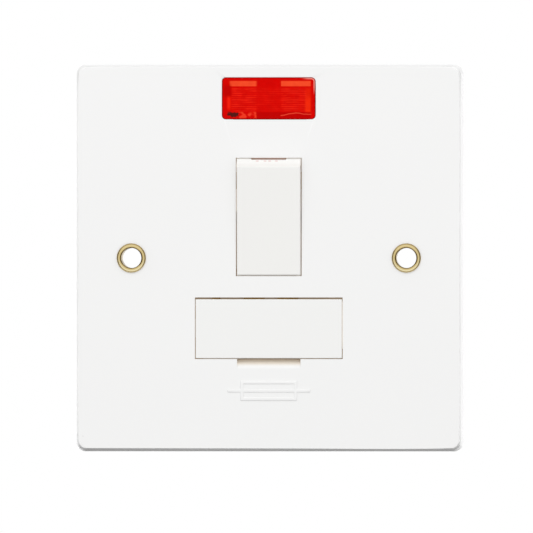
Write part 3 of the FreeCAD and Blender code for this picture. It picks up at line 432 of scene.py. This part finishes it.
sheet_brass = brushed_metal("rolled_sheet_brass", (0.78, 0.57, 0.25), (1, 6, 12))
bar_brass = brushed_metal("drawn_bar_brass", (0.80, 0.62, 0.29), (14, 10, 1), 0.26)
spring_brass = brushed_metal("spring_sheet_brass", (0.74, 0.60, 0.34), (1, 8, 8), 0.32)
copper = brushed_metal("lever_copper", (0.80, 0.46, 0.28), (10, 10, 1))
plated_cap = brushed_metal("plated_fuse_cap", (0.74, 0.70, 0.60), (1, 9, 9), 0.22, 0.15)
zinc = brushed_metal("zinc_plate", (0.66, 0.67, 0.66), (8, 1, 8), 0.34, 0.2)
screw_brass = brushed_metal("screw_brass", (0.78, 0.60, 0.30), (8, 1, 8))
wire_steel = brushed_metal("spring_wire", (0.58, 0.58, 0.58), (1, 1, 6), 0.28, 0.1)
count_nodes(sheet_brass, bar_brass, spring_brass, copper, plated_cap, zinc, screw_brass,
            wire_steel)


# %% [markdown]
# The two bushes are turned and rolled over at the front. A painted highlight runs along the crest
# of the rim, strongest low down. A dark line of tarnish lies where the rim meets the plate and
# where it turns into the bore. Over the upper half the line at the plate is darker, and the left
# and right
# sides are darker too: both are painted shade.

# %% Bush brass
BUSH_OUTER = 3.8
# Millimetres from the bush's axis: the foot of the rim, the way into the bore, the crest, the
# left and right sides
RIM_FOOT, BORE_MOUTH, CREST, SIDES = (2.72, 3.1), (2.7, 2.2), (2.68, 2.92, 0.1), (1.5, 2.8)
BRASS_BRIGHT, BRASS_PLAIN = (0.87, 0.70, 0.34), (0.72, 0.53, 0.20)
BRASS_SIDE_SHADE, BRASS_TARNISH_AND_SHADE = (0.55, 0.40, 0.14), (0.34, 0.23, 0.08)
BRASS_CREST_HIGHLIGHT = (0.98, 0.90, 0.62)


def bush_finish():
    finish = Finish("rolled_bush_brass", (0.85, 0.68, 0.31), 0.2, Metallic=1.0)
    x, y, z = finish.axes()
    across = x.size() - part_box("fixing_bush_right")[0][0] / MM - BUSH_OUTER
    radius = (across * across + z * z).root()
    # Turning marks: a noise that changes only along the radius and along the axis
    rings = finish.node("ShaderNodeTexNoise", None,
                        {"Vector": finish.node("ShaderNodeCombineXYZ", None,
                                               {"X": radius * 9.0, "Y": y * 6.0}),
                         "Scale": 1.0, "Detail": 2.0})
    # Tarnish lies at the rim's foot and in the mouth of the bore. The foot's line is darker over
    # the upper half, which is painted shade from the plate's edge
    tarnish = radius.rise(*RIM_FOOT) * (0.45 + z.rise(-1.5, 1.5) * 0.55)
    tarnish = tarnish + radius.rise(*BORE_MOUTH) * 0.8
    tone = finish.mix(finish.noise(1.4, 2) * 0.3, BRASS_BRIGHT, BRASS_PLAIN)
    # Painted shade: the left and right sides of the ring are darker
    tone = finish.mix(across.size().rise(*SIDES) * 0.45, tone, BRASS_SIDE_SHADE)
    tone = finish.mix(tarnish * 0.75, tone, BRASS_TARNISH_AND_SHADE)
    # Painted highlight along the crest of the rim, strongest low down
    crest_highlight = radius.between(*CREST) * (0.2 + z.rise(0.5, -2.0) * 0.5)
    finish.set("Base Color", finish.mix(crest_highlight, tone, BRASS_CREST_HIGHLIGHT))
    finish.set("Roughness", 0.16 + rings * 0.1 + tarnish * 0.15)
    finish.bump(rings, 0.003)
    return finish


bush_brass = bush_finish()
count_nodes(bush_brass)


# %% [markdown]
# ## The red window
# The lens is a clear red cap. Its frame of slanted facets and its fine ribs are moulded on the
# inside, so the eye meets them through the red: bright where a facet throws the light back,
# dark where it looks down into the lamp's hollow. That light and shade is painted: each facet and
# rib is a mask of painted highlight or painted shade laid over the red, with x and z counted in
# millimetres from the middle of the window. A mask's place is written as from, to and softness.

# %% The lens's ribs
RED_DEEP, RED_BODY, RED_RIB_HIGHLIGHT = (0.57, 0.0006, 0.0002), (0.74, 0.002, 0.0005), (0.90, 0.026, 0.010)
RIB_TURN = 13.0  # radians of the wave in a millimetre
RIBS_END, RIBS_UP, RIBS_STRONG = (8.35, 8.05), (-2.8, 2.4, 0.2), (2.5, 2.9)


def with_ribs(finish, x, z, cloud, ripple):
    """Painted highlights of ribs all across, stronger in the outer thirds and a little wavy as
    moulded ones are.
    """
    field = x.size().rise(*RIBS_END) * z.between(*RIBS_UP)
    field = field * (0.45 + x.size().rise(*RIBS_STRONG) * 0.55)
    streaks = finish.noise(0.7, 3, stretch=(0.22, 1, 1)).rise(0.36, 0.62)
    ribs = ((z * RIB_TURN + ripple * 3.0).wave() * 0.5 + 0.5) * (0.25 + streaks * 0.75)
    body = finish.mix(cloud, RED_DEEP, RED_BODY)
    return finish.mix(field * ribs * (0.35 + cloud * 0.5), body, RED_RIB_HIGHLIGHT)


print("ribs are", round(2 * math.pi / RIB_TURN, 2), "mm apart")


# %% The lens's facets, and what lies at its lower edge
TOP_FACET_HIGHLIGHT, RIGHT_FACET_HIGHLIGHT = (0.92, 0.076, 0.022), (0.93, 0.028, 0.004)
LEFT_FACET_HIGHLIGHT, CORNER_SHADE = (0.95, 0.018, 0.005), (0.48, 0.001, 0.0005)
LOW_FACET_SHADE, LOW_GLINT = (0.50, 0.0006, 0.0004), (0.93, 0.06, 0.022)
LAMP_SHADOW, THIN_CURVE_HIGHLIGHT = (0.085, 0.010, 0.008), (0.94, 0.09, 0.04)
TOP_RIGHT, TOP_LEFT, TOP_UP = (2.7, 9.2, 0.1), (-8.5, -2.7, 0.3), (2.65, 3.8, 0.12)
RIGHT_FACET, RIGHT_BRIGHTENS = ((8.0, 9.2, 0.3), (-3.2, 2.3, 0.5)), (1.8, -1.2)
LEFT_FACET = (-9.1, -8.4, 0.3), (-2.4, 0.5, 0.6)
DARK_CORNER = (-9.9, -8.2, 0.35), (0.4, 2.9, 0.5)
LOW_UP, LOW_ACROSS, GLINTS_ACROSS = (-4.4, -3.0, 0.2), (-2.7, 9.2, 0.2), (-6.6, -2.7, 0.2)
SHADOW_MIDDLE, SHADOW_ACROSS, SHADOW_SLOPE = (-7.7, -3.55), (-9.0, -6.7, 0.3), 0.12
CURVE_LOWEST, CURVE_ACROSS, CURVE_BEND = (6.5, -3.3), (2.6, 9.3, 0.2), 0.03


def with_facets(finish, tone, x, z, cloud):
    """Painted highlights of the slanted facets: two at the top, one at the right, one at the left,
    and painted shade in the upper left corner.
    """
    top = z.between(*TOP_UP) * (x.between(*TOP_RIGHT) + x.between(*TOP_LEFT))
    tone = finish.mix(top * (0.6 + cloud * 0.6), tone, TOP_FACET_HIGHLIGHT)
    right = patch(x, z, *RIGHT_FACET) * (0.3 + z.rise(*RIGHT_BRIGHTENS) * 0.5)
    tone = finish.mix(right * (0.7 + cloud * 0.5), tone, RIGHT_FACET_HIGHLIGHT)
    tone = finish.mix(patch(x, z, *LEFT_FACET) * 0.75, tone, LEFT_FACET_HIGHLIGHT)
    return finish.mix(patch(x, z, *DARK_CORNER) * 0.75, tone, CORNER_SHADE)


def with_lower_edge(finish, tone, x, z, ripple):
    """Painted shade on the lower facet, with a painted shadow of the lamp's foot, stray painted
    glints and a thin painted highlight along a curve.
    """
    low = z.between(*LOW_UP)
    tone = finish.mix(low * x.between(*LOW_ACROSS) * 0.85, tone, LOW_FACET_SHADE)
    glints = finish.noise(1.1, 1).rise(0.4, 0.55)
    tone = finish.mix(low * x.between(*GLINTS_ACROSS) * glints * 0.65, tone, LOW_GLINT)
    rough = finish.noise(0.6, 3) - 0.5
    aside = x - SHADOW_MIDDLE[0]
    off_shadow = z - SHADOW_MIDDLE[1] + rough * 1.6 + aside * SHADOW_SLOPE
    shadow = off_shadow.size().rise(0.62, 0.3) * (x + rough * 2.0).between(*SHADOW_ACROSS)
    tone = finish.mix(shadow, tone, LAMP_SHADOW)
    aside = x - CURVE_LOWEST[0]
    off_curve = z - CURVE_LOWEST[1] + ripple * 0.8 + aside * aside * CURVE_BEND
    curve = off_curve.size().rise(0.17, 0.03) * x.between(*CURVE_ACROSS)
    return finish.mix(curve * 0.6, tone, THIN_CURVE_HIGHLIGHT)


# %% [markdown]
# The cap's rim turns away from the eye, so painted shade darkens it all round. How far a point is
# from the rounded outline is worked out as for any box with round corners: what sticks out past the
# smaller box between the corners' centres makes the two sides of a right triangle.

# %% The lens's rim and the whole lens
LENS_CORNER = 0.9
LENS_TAB = 1.2  # reach of the hidden tabs, past the window at each side
RIM_DARK, RIM_GLINT = (0.34, 0.004, 0.004), (0.97, 0.42, 0.34)
RIM_DEEP, GLINT_DEEP = (0.32, 0.05), (0.22, 0.38, 0.06)
GLINT_ACROSS, GLINT_UP = (7.0, 9.0), (0.5, 2.8)
LENS_LOW, LENS_HIGH = (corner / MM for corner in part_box("neon_lens"))
LENS_MIDDLE, LENS_SIZE = (LENS_LOW + LENS_HIGH) / 2, LENS_HIGH - LENS_LOW


def with_rim(finish, tone, x, z):
    """Painted shade on the rim all round, and one painted glint at the upper right."""
    wide, tall = LENS_SIZE.x / 2 - LENS_TAB - LENS_CORNER, LENS_SIZE.z / 2 - LENS_CORNER
    over, above = (x.size() - wide).above_zero(), (z.size() - tall).above_zero()
    inside = LENS_CORNER - (over * over + above * above).root()
    tone = finish.mix(inside.rise(*RIM_DEEP), tone, RIM_DARK)
    glint = inside.between(*GLINT_DEEP) * x.rise(*GLINT_ACROSS) * z.rise(*GLINT_UP)
    return finish.mix(glint * 0.9, tone, RIM_GLINT)


def lens_finish():
    finish = Finish("neon_lens_red", (0.70, 0.004, 0.001), 0.12, Specular_IOR_Level=0.02)
    x, y, z = finish.axes()
    z = z - LENS_MIDDLE.z
    cloud = finish.noise(1.3, 3)
    ripple = finish.noise(2.6, 2) - 0.5
    tone = with_ribs(finish, x, z, cloud, ripple)
    tone = with_facets(finish, tone, x, z, cloud)
    tone = with_lower_edge(finish, tone, x, z, ripple)
    finish.set("Base Color", with_rim(finish, tone, x, z))
    finish.set("Roughness", 0.1 + cloud * 0.08)
    finish.bump(cloud, 0.004)
    return finish


red_lens = lens_finish()
count_nodes(red_lens)


# %% [markdown]
# ## Lamp, resistor and fuse tube
# The lamp is clear soda glass with a milky pinch. The resistor wears lacquer with its colour
# rings, and the fuse tube is plain fired ceramic with a faint speckle.

# %% Glass, lacquer and ceramic
PINCH_LEVEL = -4.8
LACQUER = (0.72, 0.58, 0.40)
# Each ring's height above the resistor's foot, in millimetres, and its colour
RINGS = ((1.2, (0.30, 0.10, 0.04)), (2.3, (0.02, 0.02, 0.02)), (3.3, (0.75, 0.62, 0.05)),
         (5.0, (0.70, 0.52, 0.18)))
RING_HALF = 0.28


def lamp_glass_finish():
    finish = Finish("lamp_glass", (0.93, 0.90, 0.86), 0.08, IOR=1.45, Alpha=0.55)
    x, y, z = finish.axes()
    pinch = x < PINCH_LEVEL
    finish.set("Base Color", finish.mix(pinch, (0.95, 0.86, 0.78), (0.72, 0.66, 0.60)))
    finish.set("Roughness", 0.05 + pinch * 0.3 + finish.noise(1.5, 2) * 0.06)
    return finish


def resistor_finish():
    finish = Finish("resistor_lacquer", LACQUER, 0.3)
    x, y, z = finish.axes()
    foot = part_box("lamp_resistor")[0][2] / MM
    tone = finish.mix(finish.noise(1.5, 2), LACQUER, dimmed(LACQUER, 0.9))
    for level, ring in RINGS:
        tone = finish.mix((z - foot - level).size() < RING_HALF, tone, ring)
    finish.set("Base Color", tone)
    finish.bump(finish.noise(0.5, 2), 0.004)
    return finish


def ceramic_finish():
    finish = Finish("fuse_ceramic", (0.86, 0.85, 0.80), 0.48)
    speckle = finish.noise(0.35, 2)
    finish.set("Base Color", finish.mix((speckle - 0.35) * 0.5, (0.88, 0.87, 0.83),
                                        (0.70, 0.68, 0.62)))
    finish.bump(speckle, 0.003)
    return finish


lamp_glass = lamp_glass_finish()
lacquer = resistor_finish()
ceramic = ceramic_finish()
count_nodes(lamp_glass, lacquer, ceramic)


# %% [markdown]
# ## Who wears what
# Every solid carries the name of the stuff that it is made of. One table turns that name into
# a finish, so all parts of one stuff look alike.

# %% A finish for every solid
FINISHES = {
    "plate_moulding": plate_white, "housing_moulding": housing_white,
    "rocker_moulding": rocker_white, "carrier_moulding": carrier_white,
    "plunger_plastic": nylon, "lead_sleeve": sleeve_red,
    "red_lens": red_lens, "lamp_glass": lamp_glass, "resistor_coat": lacquer,
    "bush_brass": bush_brass, "strip_brass": sheet_brass, "block_brass": bar_brass,
    "clip_brass": spring_brass, "clamp_screw_brass": screw_brass, "lever_copper": copper,
    "screw_steel": zinc, "spring_wire": wire_steel,
    "fuse_ceramic": ceramic, "fuse_cap_metal": plated_cap,
}


def wear(piece, finish):
    """Gives a piece one finish all over."""
    piece.data.materials.clear()
    piece.data.materials.append(finish.material)


for node, part in nodes.items():
    wear(part, FINISHES[slot_of_node[node]])
print("finishes worn:", len(FINISHES), "by", len(nodes), "pieces")


# %% [markdown]
# ## Soft edges on the mouldings
# A solid from a construction program has knife edges, and no moulding has. Its edges catch a
# thin line of light, because the mould's own corners are worn or polished round. The solid's
# mesh stays as it is. A copy is merged, its flat areas become single faces, and a bevel of a
# tenth of a millimetre runs along every crease. The copy then stands for the solid.

# %% From a bmesh to a piece of the unit
def as_object(name, mesh, crease=None):
    """Makes an object of a bmesh, shaded smooth up to the crease's angle if there is one."""
    data = bpy.data.meshes.new(name)
    mesh.to_mesh(data)
    mesh.free()
    if crease:
        data.shade_smooth()
        data.set_sharp_from_angle(angle=math.radians(crease))
    made = bpy.data.objects.new(name, data)
    bpy.context.scene.collection.objects.link(made)
    print(name, "faces:", len(data.polygons))
    return made


def join_body(piece, node, finish, replace=True):
    """Lets a piece ride where the node rides, and dresses it."""
    wear(piece, finish)
    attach(piece, body_of_node[node])
    if replace:
        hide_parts(node)


# %% A softened copy of a solid
SAME_POINT, SHORT_EDGE = 0.002, 0.001  # millimetres
FLAT_ANGLE, CREASE_ANGLE, SHARP_ANGLE = 0.5, 28, 35  # degrees
FINE_EDGE, PLAIN_EDGE = 0.1, 0.12  # millimetres, on the polished mouldings and on the others


def merged_copy(node):
    """The node's shape with its corners joined and its flats whole."""
    mesh = bmesh.new()
    mesh.from_mesh(nodes[node].data)
    bmesh.ops.remove_doubles(mesh, verts=mesh.verts, dist=SAME_POINT * MM)
    bmesh.ops.dissolve_degenerate(mesh, edges=mesh.edges, dist=SHORT_EDGE * MM)
    bmesh.ops.dissolve_limit(mesh, angle_limit=math.radians(FLAT_ANGLE), verts=mesh.verts,
                             edges=mesh.edges)
    return mesh


def soften(mesh, node, name, finish, edge):
    """Bevels every crease by edge millimetres and puts the result in the node's place."""
    sharp = [e for e in mesh.edges if len(e.link_faces) == 2
             and e.calc_face_angle(0) > math.radians(CREASE_ANGLE)]
    bmesh.ops.bevel(mesh, geom=sharp, offset=edge * MM, offset_type="OFFSET", segments=2,
                    profile=0.5, affect="EDGES", clamp_overlap=True, material=-1)
    bmesh.ops.triangulate(mesh, faces=[f for f in mesh.faces if len(f.verts) > 4])
    piece = as_object(name, mesh, SHARP_ANGLE)
    join_body(piece, node, finish)
    # Large faces count for more in the shading, so the flats stay level between soft edges
    level = piece.modifiers.new("level_flats", "WEIGHTED_NORMAL")
    level.mode = "FACE_AREA"
    level.keep_sharp = True


# %% [markdown]
# The rocker's top edge stands proud of the plate, and thumbs like it well rounded. A bevel that
# wide could run into the recess beside it. A row of flat cuts makes the round instead, each one
# turned a little further, as a file would.

# %% The rocker's rounded top edge
CUT_NEAR = 1e-7  # metres within which a corner counts as lying on a cut
# The edge is (y, z) in millimetres. A slope is how far a face's outward direction points above
# the forward one, in degrees: from the rocker's face round to its top end
TOP_EDGE, FACE_SLOPE, END_SLOPE = (-11.2, 20.02), -5, 47.2
TOP_RADIUS, TOP_CUTS = 0.6, 7


def every_part(mesh):
    return mesh.verts[:] + mesh.edges[:] + mesh.faces[:]


def round_top_edge(mesh):
    """Rounds the long edge along X by flat cuts from one slope to the other."""
    half = math.radians(END_SLOPE - FACE_SLOPE) / 2
    middle = math.radians(FACE_SLOPE + END_SLOPE) / 2
    radius = TOP_RADIUS * MM

    def outward(angle):
        return Vector((0, -math.cos(angle), math.sin(angle)))

    centre = Vector((0, *TOP_EDGE)) * MM - outward(middle) * radius / math.cos(half)
    for step in range(TOP_CUTS):
        slope = math.radians(FACE_SLOPE) + 2 * half * (step + 0.5) / TOP_CUTS
        cut = bmesh.ops.bisect_plane(mesh, geom=every_part(mesh), dist=CUT_NEAR,
                                     clear_outer=True, plane_co=centre + outward(slope) * radius,
                                     plane_no=outward(slope))["geom_cut"]
        rim = [item for item in cut if isinstance(item, bmesh.types.BMEdge)]
        bmesh.ops.edgeloop_fill(mesh, edges=rim)
    bmesh.ops.recalc_face_normals(mesh, faces=mesh.faces)


rocker_mesh = merged_copy("rocker")
round_top_edge(rocker_mesh)
print("rocker faces with its top edge rounded:", len(rocker_mesh.faces))

# %% All softened pieces
soften(merged_copy("faceplate"), "faceplate", "moulded_plate", plate_white, FINE_EDGE)
soften(rocker_mesh, "rocker", "moulded_rocker", rocker_white, FINE_EDGE)
soften(merged_copy("fuse_carrier"), "fuse_carrier", "moulded_drawer", carrier_white, FINE_EDGE)
soften(merged_copy("rear_housing"), "rear_housing", "moulded_housing", housing_white, PLAIN_EDGE)
for node in nodes:
    if slot_of_node[node] == "block_brass":
        soften(merged_copy(node), node, node + "_worn", bar_brass, PLAIN_EDGE)


# %% [markdown]
# ## A raised sign for the fuse
# Under the drawer the plate carries a low moulded relief. Here it is the plain circuit sign of a
# fuse, a bar with a line through it. One flat sheet is cut along the sign's lines, the cells
# between the strokes are thrown away, the rest is lifted in one go, and its edges are rounded.

# %% The relief
SIGN_LEVEL = -29.1
RING_HALF_WIDE, RING_HALF_TALL, RING_STROKE = 6.2, 2.15, 0.65
LINE_HALF_LONG, LINE_HALF_TALL = 9.1, 0.33  # millimetres, as are the others
SIGN_SINK, SIGN_LIFT, SIGN_ROUND = 0.05, 0.22, 0.13
SIGN_SHARP = 50  # degrees
HOLE_HALF_WIDE, HOLE_HALF_TALL = RING_HALF_WIDE - RING_STROKE, RING_HALF_TALL - RING_STROKE
ACROSS, UP = Vector((1, 0, 0)), Vector((0, 0, 1))
sign_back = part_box("faceplate")[0][1] / MM + SIGN_SINK
sign_middle = Vector((0, sign_back, SIGN_LEVEL))


def sign_sheet():
    """A flat sheet as large as the sign, cut along both edges of every stroke."""
    mesh = bmesh.new()
    lie = (Matrix.Translation(sign_middle * MM) @ Matrix.Rotation(math.radians(90), 4, "X")
           @ Matrix.Diagonal((2 * LINE_HALF_LONG * MM, 2 * RING_HALF_TALL * MM, 1, 1)))
    bmesh.ops.create_grid(mesh, x_segments=1, y_segments=1, size=0.5, matrix=lie)
    cuts = [(ACROSS, half) for half in (RING_HALF_WIDE, HOLE_HALF_WIDE)]
    cuts += [(UP, half) for half in (LINE_HALF_TALL, HOLE_HALF_TALL)]
    for way, half in cuts:
        for side in (-half, half):
            bmesh.ops.bisect_plane(mesh, geom=every_part(mesh), dist=CUT_NEAR,
                                   plane_co=(sign_middle + way * side) * MM, plane_no=way)
    return mesh


def is_bare(cell):
    """Whether a cell of the sheet lies on no stroke."""
    place = cell.calc_center_median() / MM - sign_middle
    x, z = abs(place.x), abs(place.z)
    on_ring = x < RING_HALF_WIDE and (x > HOLE_HALF_WIDE or z > HOLE_HALF_TALL)
    return z > LINE_HALF_TALL and not on_ring


def fuse_sign():
    mesh = sign_sheet()
    bmesh.ops.delete(mesh, geom=[cell for cell in mesh.faces if is_bare(cell)], context="FACES")
    lifted = bmesh.ops.extrude_face_region(mesh, geom=mesh.faces[:])["geom"]
    tops = [item for item in lifted if isinstance(item, bmesh.types.BMVert)]
    bmesh.ops.translate(mesh, verts=tops, vec=(0, -SIGN_LIFT * MM, 0))
    bmesh.ops.recalc_face_normals(mesh, faces=mesh.faces)
    top_level = (sign_back - SIGN_LIFT) * MM
    rims = [edge for edge in mesh.edges
            if all(abs(vert.co.y - top_level) < CUT_NEAR for vert in edge.verts)
            and edge.calc_face_angle(0) > 1]
    bmesh.ops.bevel(mesh, geom=rims, offset=SIGN_ROUND * MM, offset_type="OFFSET", segments=3,
                    profile=0.5, affect="EDGES", clamp_overlap=True, material=-1)
    sign = as_object("moulded_fuse_sign", mesh, SIGN_SHARP)
    join_body(sign, "faceplate", plate_white, replace=False)


fuse_sign()


# %% [markdown]
# ## The room, the light and the camera
# The photograph is high-key: a white world all round, with a soft lamp above. Below and behind
# it is much darker, as over a table, so the plate's lower side draws a fine dark line. The
# plate's sides mirror the wall behind at a glance. That wall is lit a little more, most on the
# right and not above, so that those sides melt into the white as in the photograph.

# %% World
ROOM_LIGHT = 0.868
TABLE_LIGHT = 0.18  # what is left of the light over the table
WALL_GAIN, WALL_GAIN_RIGHT, WALL_LOSS_ABOVE = 0.5, 0.15, 0.55
# Directions as the sides of an arrow one metre long: where a mask starts and where it is full
TABLE_LOW, TABLE_BEHIND = (-0.14, -0.26), (-0.6, -0.1)
EDGE_LOW, EDGE_LEFT, EDGE_RIGHT = (-0.065, -0.105), (-0.09, -0.05), (-0.01, 0.03)
WALL_BEHIND, WALL_RIGHT, WALL_ABOVE = (0.1, 0.5), (0.0, 0.1), (0.01, 0.12)


def build_world():
    """A white room with a dark table. Its masks read the direction in which a ray leaves."""
    world = bpy.data.worlds.new("white_room")
    bpy.context.scene.world = world
    world.use_nodes = True
    world.node_tree.nodes.clear()
    room = Network(world.node_tree)
    x, y, z = room.split(room.node("ShaderNodeTexCoord", out="Generated"))
    # The table's far edge shows only in the plate's lower side, and less in its round corners
    low = z.climb(TABLE_LOW)
    far_edge = z.climb(EDGE_LOW) * (x.climb(EDGE_LEFT) - x.climb(EDGE_RIGHT))
    table = (low + (1.0 - low) * far_edge) * y.climb(TABLE_BEHIND)
    gain = WALL_GAIN + x.climb(WALL_RIGHT) * WALL_GAIN_RIGHT
    gain = gain - z.climb(WALL_ABOVE) * WALL_LOSS_ABOVE
    wall = 1.0 + y.climb(WALL_BEHIND) * gain
    light = ROOM_LIGHT * (1.0 - table * (1.0 - TABLE_LIGHT)) * wall
    lit = room.node("ShaderNodeBackground", None, {"Color": (1, 1, 1, 1), "Strength": light})
    seen = room.node("ShaderNodeBackground", None, {"Color": (1, 1, 1, 1)})
    straight = room.node("ShaderNodeLightPath", out="Is Camera Ray")
    both = room.node("ShaderNodeMixShader", None, {0: straight, 1: lit, 2: seen})
    room.node("ShaderNodeOutputWorld", None, {0: both}, out=None)
    print("nodes in the world:", len(world.node_tree.nodes))


build_world()


# %% [markdown]
# A pale floor far below is there for views from above. Nothing but the camera sees it. Two dark
# cards stand at the sides, where the camera doesn't see them. They give shiny metal its edges.

# %% Floor and side cards
FLOOR_HALF, FLOOR_DROP = 1.6, 0.30  # metres
CARD_HALF, CARD_ACROSS, CARD_FORWARD = 0.35, 0.45, 0.1  # metres


def stage_sheet(name, half, place, finish, seen_by):
    """A square sheet of the studio, seen only by the kinds of rays that are named."""
    mesh = bmesh.new()
    bmesh.ops.create_grid(mesh, x_segments=1, y_segments=1, size=half, matrix=place)
    sheet = as_object(name, mesh)
    wear(sheet, finish)
    for kind in ("camera", "diffuse", "glossy", "shadow"):
        setattr(sheet, "visible_" + kind, kind in seen_by)


floor_finish = Finish("pale_floor", (0.86, 0.86, 0.86), 0.8)
floor_finish.set("Base Color", floor_finish.mix(floor_finish.noise(180, 2), (0.85, 0.85, 0.85),
                                                (0.88, 0.88, 0.88)))
stage_sheet("studio_floor", FLOOR_HALF, Matrix.Translation((0, 0, -FLOOR_DROP)), floor_finish,
            ("camera",))

card_finish = Finish("dark_card", (0.10, 0.09, 0.08), 0.9)
card_finish.set("Base Color", card_finish.mix(card_finish.noise(200, 2), (0.10, 0.09, 0.08),
                                              (0.14, 0.13, 0.11)))
upright = Matrix.Rotation(math.radians(90), 4, "Y")
for name, across in (("left_card", -CARD_ACROSS), ("right_card", CARD_ACROSS)):
    stage_sheet(name, CARD_HALF, Matrix.Translation((across, -CARD_FORWARD, 0)) @ upright,
                card_finish, ("glossy",))


# %% [markdown]
# One large round softbox hangs in front and above, a touch to the left. It is far wider than the
# unit, so its shadows have no hard edge.

# %% Lamp
SOFTBOX_PLACE = Vector((-0.06, -0.78, 0.78))  # metres
SOFTBOX_WIDE, SOFTBOX_POWER = 0.6, 3.4  # metres and watts

softbox = bpy.data.lights.new("top_softbox", "AREA")
softbox.shape = "DISK"
softbox.size = SOFTBOX_WIDE
softbox.energy = SOFTBOX_POWER
lamp = bpy.data.objects.new("top_softbox", softbox)
lamp.location = SOFTBOX_PLACE
lamp.rotation_euler = (-SOFTBOX_PLACE).to_track_quat("-Z", "Y").to_euler()
lamp.visible_glossy = False
bpy.context.scene.collection.objects.link(lamp)
print("softbox stands", round(SOFTBOX_PLACE.length, 2), "m away")


# %% [markdown]
# The camera stands a touch to the right, level with the unit and far off with a long lens. The
# plate's width in pixels sets the width of the sensor, and the place of the plate's middle in
# the photograph sets the shift. So the render can be laid over the photograph.

# %% Camera
PHOTO_SIZE = 533
PLATE_PIXELS = 386.6
PLATE_MIDDLE = (269.9, 258.0)
VIEW_AZIMUTH = 1.6  # degrees
DISTANCE = 3.0  # metres
FOCAL = 200.0  # millimetres
NEAREST = 0.01  # metres

plate_low, plate_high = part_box("faceplate")
turn = math.radians(VIEW_AZIMUTH)
towards = Vector((math.sin(turn), -math.cos(turn), 0))
camera_data = bpy.data.cameras.new("camera")
camera_data.lens = FOCAL
camera_data.sensor_fit = "HORIZONTAL"
camera_data.sensor_width = (FOCAL * (plate_high.x - plate_low.x) * PHOTO_SIZE / PLATE_PIXELS
                            / DISTANCE)
camera_data.shift_x = (PHOTO_SIZE / 2 - PLATE_MIDDLE[0]) / PHOTO_SIZE
camera_data.shift_y = (PLATE_MIDDLE[1] - PHOTO_SIZE / 2) / PHOTO_SIZE
camera_data.clip_start = NEAREST
camera = bpy.data.objects.new("camera", camera_data)
camera.location = towards * DISTANCE
camera.rotation_euler = (-towards).to_track_quat("-Z", "Y").to_euler()
bpy.context.scene.collection.objects.link(camera)
bpy.context.scene.camera = camera
bpy.context.scene.view_settings.view_transform = "Standard"
print("sensor width:", round(camera_data.sensor_width, 3), "mm")
